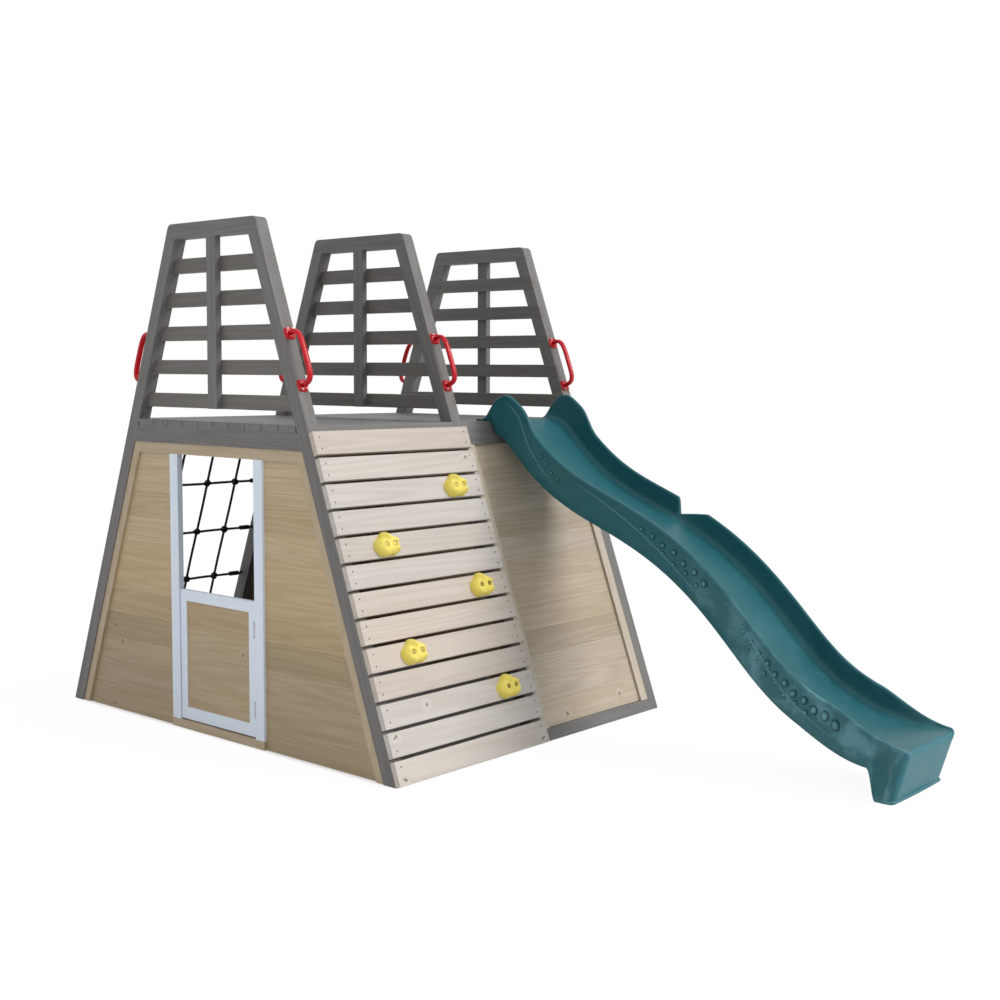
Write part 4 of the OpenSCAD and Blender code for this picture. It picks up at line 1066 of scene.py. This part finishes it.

# %% [markdown]
# The plastic is coloured right through, with a slightly uneven tone and a dull, finely grained skin. Trousers
# rub the bed dull and scratch it along its length, so fine streaks run down the bed, and pale dust gathers on
# it. The outer walls are painted paler in blotches further down, as painted light and painted reflections,
# and the front of the foot is painted paler as painted light.


# %% Plastic of the slide
def slide_plastic(name, paints_relief_light=False):
    """Dyed plastic: cloudy tone, fine grain, scratches along the slide, and painted light in blotches low
    down.

    Raised relief also reads its own value: a painted highlight above a half, painted shade below a half.
    """
    finish = Finish(name)
    x, y, z = (finish.dot(axis) for axis in (ALONG_X, ALONG_Y, ALONG_Z))
    from_middle = (x - SLIDE_X).absolute()
    slow = finish.noise(3.2, 3.0)
    fine = finish.noise(700.0, 2.0)
    streak = finish.noise(1.0, 3.0, 0.6, finish.vector(x * 240.0, y * 3.0, z * 3.0))
    dust = finish.noise(9.0, 4.0, 0.6).rise(0.45, 0.75)
    sheen_blotch = finish.noise(13.0, 3.0, 0.5).rise(0.42, 0.70)
    wavy = finish.noise(22.0, 1.0)
    outside = from_middle.rise(0.172, 0.184)
    inside = from_middle.rise(0.180, 0.166) * y.rise(end_y + 0.005, end_y + 0.030)
    # Painted light: the front face of the foot is painted paler and bluer.
    front = finish.dot(FRONT_OUT).rise(FRONT_AT - 0.020, FRONT_AT - 0.004)
    # Painted light and painted reflections: pale blotches that grow towards the ground, most on the outer
    # walls.
    painted_sheen = z.rise(0.85, 0.30) * (outside * 0.85 + 0.15) * (sheen_blotch * 0.36 + 0.06)
    tinted = finish.mix(slow * 0.8 + fine * 0.1, colour(38, 100, 107), colour(26, 80, 88))
    # Dust and scratches are real marks; the share on the foot's front face is painted light.
    tinted = finish.mix(dust * 0.02 + streak * 0.02 + front * 0.25, tinted, colour(92, 166, 180))
    tinted = finish.mix(painted_sheen * (1.0 - front), tinted, colour(128, 182, 192))
    if paints_relief_light:
        # Painted highlight where the value is above a half, and painted shade where it is below.
        highlight_and_shade = finish.node("Attribute", attribute_name="highlight_and_shade")[2]
        tinted = finish.mix(highlight_and_shade.rise(0.5, 1.0) * 0.30, tinted, colour(120, 178, 186))
        tinted = finish.mix(highlight_and_shade.rise(0.5, 0.0) * 0.62, tinted, colour(10, 34, 38))
    normal = finish.bump(fine * 0.02 + streak * 0.02 + wavy, 0.5, 0.0014)
    rough = streak * 0.08 + (dust * 0.06 + 0.10) + inside.most(front) * 0.24
    return finish.shade(base_color=tinted, roughness=rough, normal=normal, specular_ior_level=0.22)


front_tilt = math.radians(S.tilt)
FRONT_OUT = np.array([0.0, -math.cos(front_tilt), -math.sin(front_tilt)])
FRONT_AT = float(FRONT_OUT @ np.array([0.0, end_y, end_z]))
teal = slide_plastic("teal_plastic")
print("front of the foot faces", FRONT_OUT.round(3), "at", round(FRONT_AT, 4))

# %% [markdown]
# A thin flange lies round the foot on the ground. It is a stack of rings with the outline of a long narrow
# bar with round corners. The first and the last ring are drawn together on its middle line, which closes it,
# and it is joined to the skin.

# %% Slide skin with its toe
# rings of the toe: the share of its half depth, the rounding added all round, and the height
TOE_RINGS = ((0.0, 0.0, 0.0), (1.0, 0.026, 0.0), (1.0, 0.030, 0.003), (1.0, 0.030, 0.008),
             (1.0, 0.026, 0.012), (1.0, 0.010, 0.014), (0.0, 0.0, 0.014))
toe_middle = end_y + math.tan(front_tilt) * end_z + 0.030
toe_angle = around(64)
toe_x = np.clip(np.cos(toe_angle) * 0.6, -0.3, 0.3) / 0.3 * 0.158
toe_y = np.clip(np.sin(toe_angle) * 0.6, -0.3, 0.3) / 0.3 * 0.009
toe_share, toe_round, toe_height = (np.array(column)[:, None] for column in zip(*TOE_RINGS))
toe = np.stack(np.broadcast_arrays(
    SLIDE_X + toe_x + np.cos(toe_angle) * toe_round,
    toe_middle + toe_y * toe_share + np.sin(toe_angle) * toe_round,
    toe_height,
), -1)
slide_mesh = join([(skin_points, skin_faces), shell(toe)])
piece("slide_skin", *slide_mesh, teal, "green_plastic", ["slide"], crease=32.0)

# %% [markdown]
# The outer walls carry a light moulded relief: rows of round studs, most of which grow along the slide, and
# low ridges that flow down across the wall. They are laid on the wall's own surface, given by the distance
# along the bed and a share of the way from the lip to the crease, and lifted off it by a dome or a half
# round. The raised parts are painted pale as a painted highlight, and the corner round them dark as painted
# shade, so each point carries a value for the finish: 1 on top of a stud, 0 in the corner, and a half on the
# thin ring that fades out.


# %% Shapes of the relief
def on_wall(s, share, lift, side):
    """Points on the outer wall, lifted outwards: s along the bed, share from the lip to the crease."""
    s, share, lift = np.broadcast_arrays(s, share, lift)
    flat = s.ravel()
    f = section_facts(flat)
    _, lip, lip_x, crease_x, crease = outer_wall(flat, f, side)
    x = lip_x + (crease_x - lip_x) * share.ravel() + lift.ravel()
    h = lip + (crease - lip) * share.ravel()
    return slide_place(f, x[:, None], h[:, None], side).reshape(s.shape + (3,))


WALL_HEIGHT = 0.093


def stud(s, share, radius, side):
    """A dome on the wall: rings round its middle, raised by the root of one minus the share squared.

    Outside it a thin ring lies on the wall, and the last two rings close the shape behind the wall's surface.
    """
    angle = around(18)[None, :]
    dome = np.sin(np.linspace(0, 1, 7) * np.pi / 2)
    ring = np.concatenate([dome, [1.16, 1.42, 1.42, 0.0]])[:, None]
    lift = 0.8 * radius * np.sqrt(np.clip(1 - ring ** 2, 0, 1)) + 0.0005
    lift[-2:] = -0.002
    # Painted highlight on the dome's top, and painted shade on the first ring round its foot.
    highlight_and_shade = np.concatenate([1 - dome ** 3, [0.12, 0.5, 0.5, 0.5]])[:, None] + 0 * angle
    relief_highlight_and_shade.append(highlight_and_shade.ravel())
    across = share + ring * radius * np.sin(angle) / WALL_HEIGHT
    return shell(on_wall(s + ring * radius * np.cos(angle), across, lift, side))


def ridge(s_from, s_to, share_from, share_to, side):
    """A half round that flows down across the wall by a smooth step and fades out at both ends."""
    t = np.linspace(0, 1, 120)[:, None]
    angle = np.linspace(0, np.pi, 9)[None, :]
    fade = np.sqrt(np.clip(np.sin(t * np.pi), 0, 1))
    across = share_from + (share_to - share_from) * ease(t) + 0.0070 * np.cos(angle) * fade / WALL_HEIGHT
    # Painted highlight along the ridge's top, and painted shade along its sides.
    relief_highlight_and_shade.append((0.2 + 0.6 * np.sin(angle) + 0 * t).ravel())
    return shell(on_wall(s_from + (s_to - s_from) * t, across, 0.0042 * np.sin(angle) * fade - 0.0004, side))


print("middle of the near wall, 1 m along the bed:", on_wall(1.0, 0.5, 0.0, -1).round(3))

# %% [markdown]
# The layout is a plain pattern: five rows of studs and three ridges on each wall, the same on both sides
# except where the step in the far rim leaves less room.

# %% Studs and ridges on the slide's outer walls
# rows: from and to along the bed, from and to across the wall, count, first and last radius
STUD_ROWS = (
    (0.38, 0.50, 0.26, 0.52, 4, 0.0075, 0.0065), (0.94, 1.26, 0.34, 0.30, 7, 0.0080, 0.0120),
    (1.00, 1.24, 0.66, 0.62, 5, 0.0060, 0.0080), (1.48, 1.96, 0.30, 0.36, 11, 0.0080, 0.0150),
    (1.54, 1.84, 0.64, 0.66, 7, 0.0060, 0.0090),
)
# where the ridge in the middle starts, which on the far wall is past the step in the rim
RIDGE_START = {-1: 0.56, 1: 0.90}
relief_parts = []
relief_highlight_and_shade = []
for side in (-1, 1):
    for s_from, s_to, share_from, share_to, count, small, large in STUD_ROWS:
        for t in np.linspace(0, 1, count):
            radius = small + (large - small) * t
            share = share_from + (share_to - share_from) * t + 0.04 * math.sin(3.1 * count * t)
            relief_parts.append(stud(s_from + (s_to - s_from) * t, share, radius, side))
    relief_parts.append(ridge(0.12, 0.52, 0.16, 0.80, side))
    relief_parts.append(ridge(RIDGE_START[side], 1.30, 0.12, 0.88, side))
    relief_parts.append(ridge(1.36, 1.98, 0.14, 0.84, side))
painted_relief_teal = slide_plastic("teal_plastic_painted_highlight_and_shade", paints_relief_light=True)
all_highlight_and_shade = np.concatenate(relief_highlight_and_shade)
piece("slide_relief", *join(relief_parts), painted_relief_teal, "green_plastic", crease=60.0, highlight_and_shade=all_highlight_and_shade)

# %% [markdown]
#
# The list of pieces without a finish should be empty.

# %% Finish
undressed = sorted(set(nodes) - dressed)
print("pieces without a finish:", undressed)
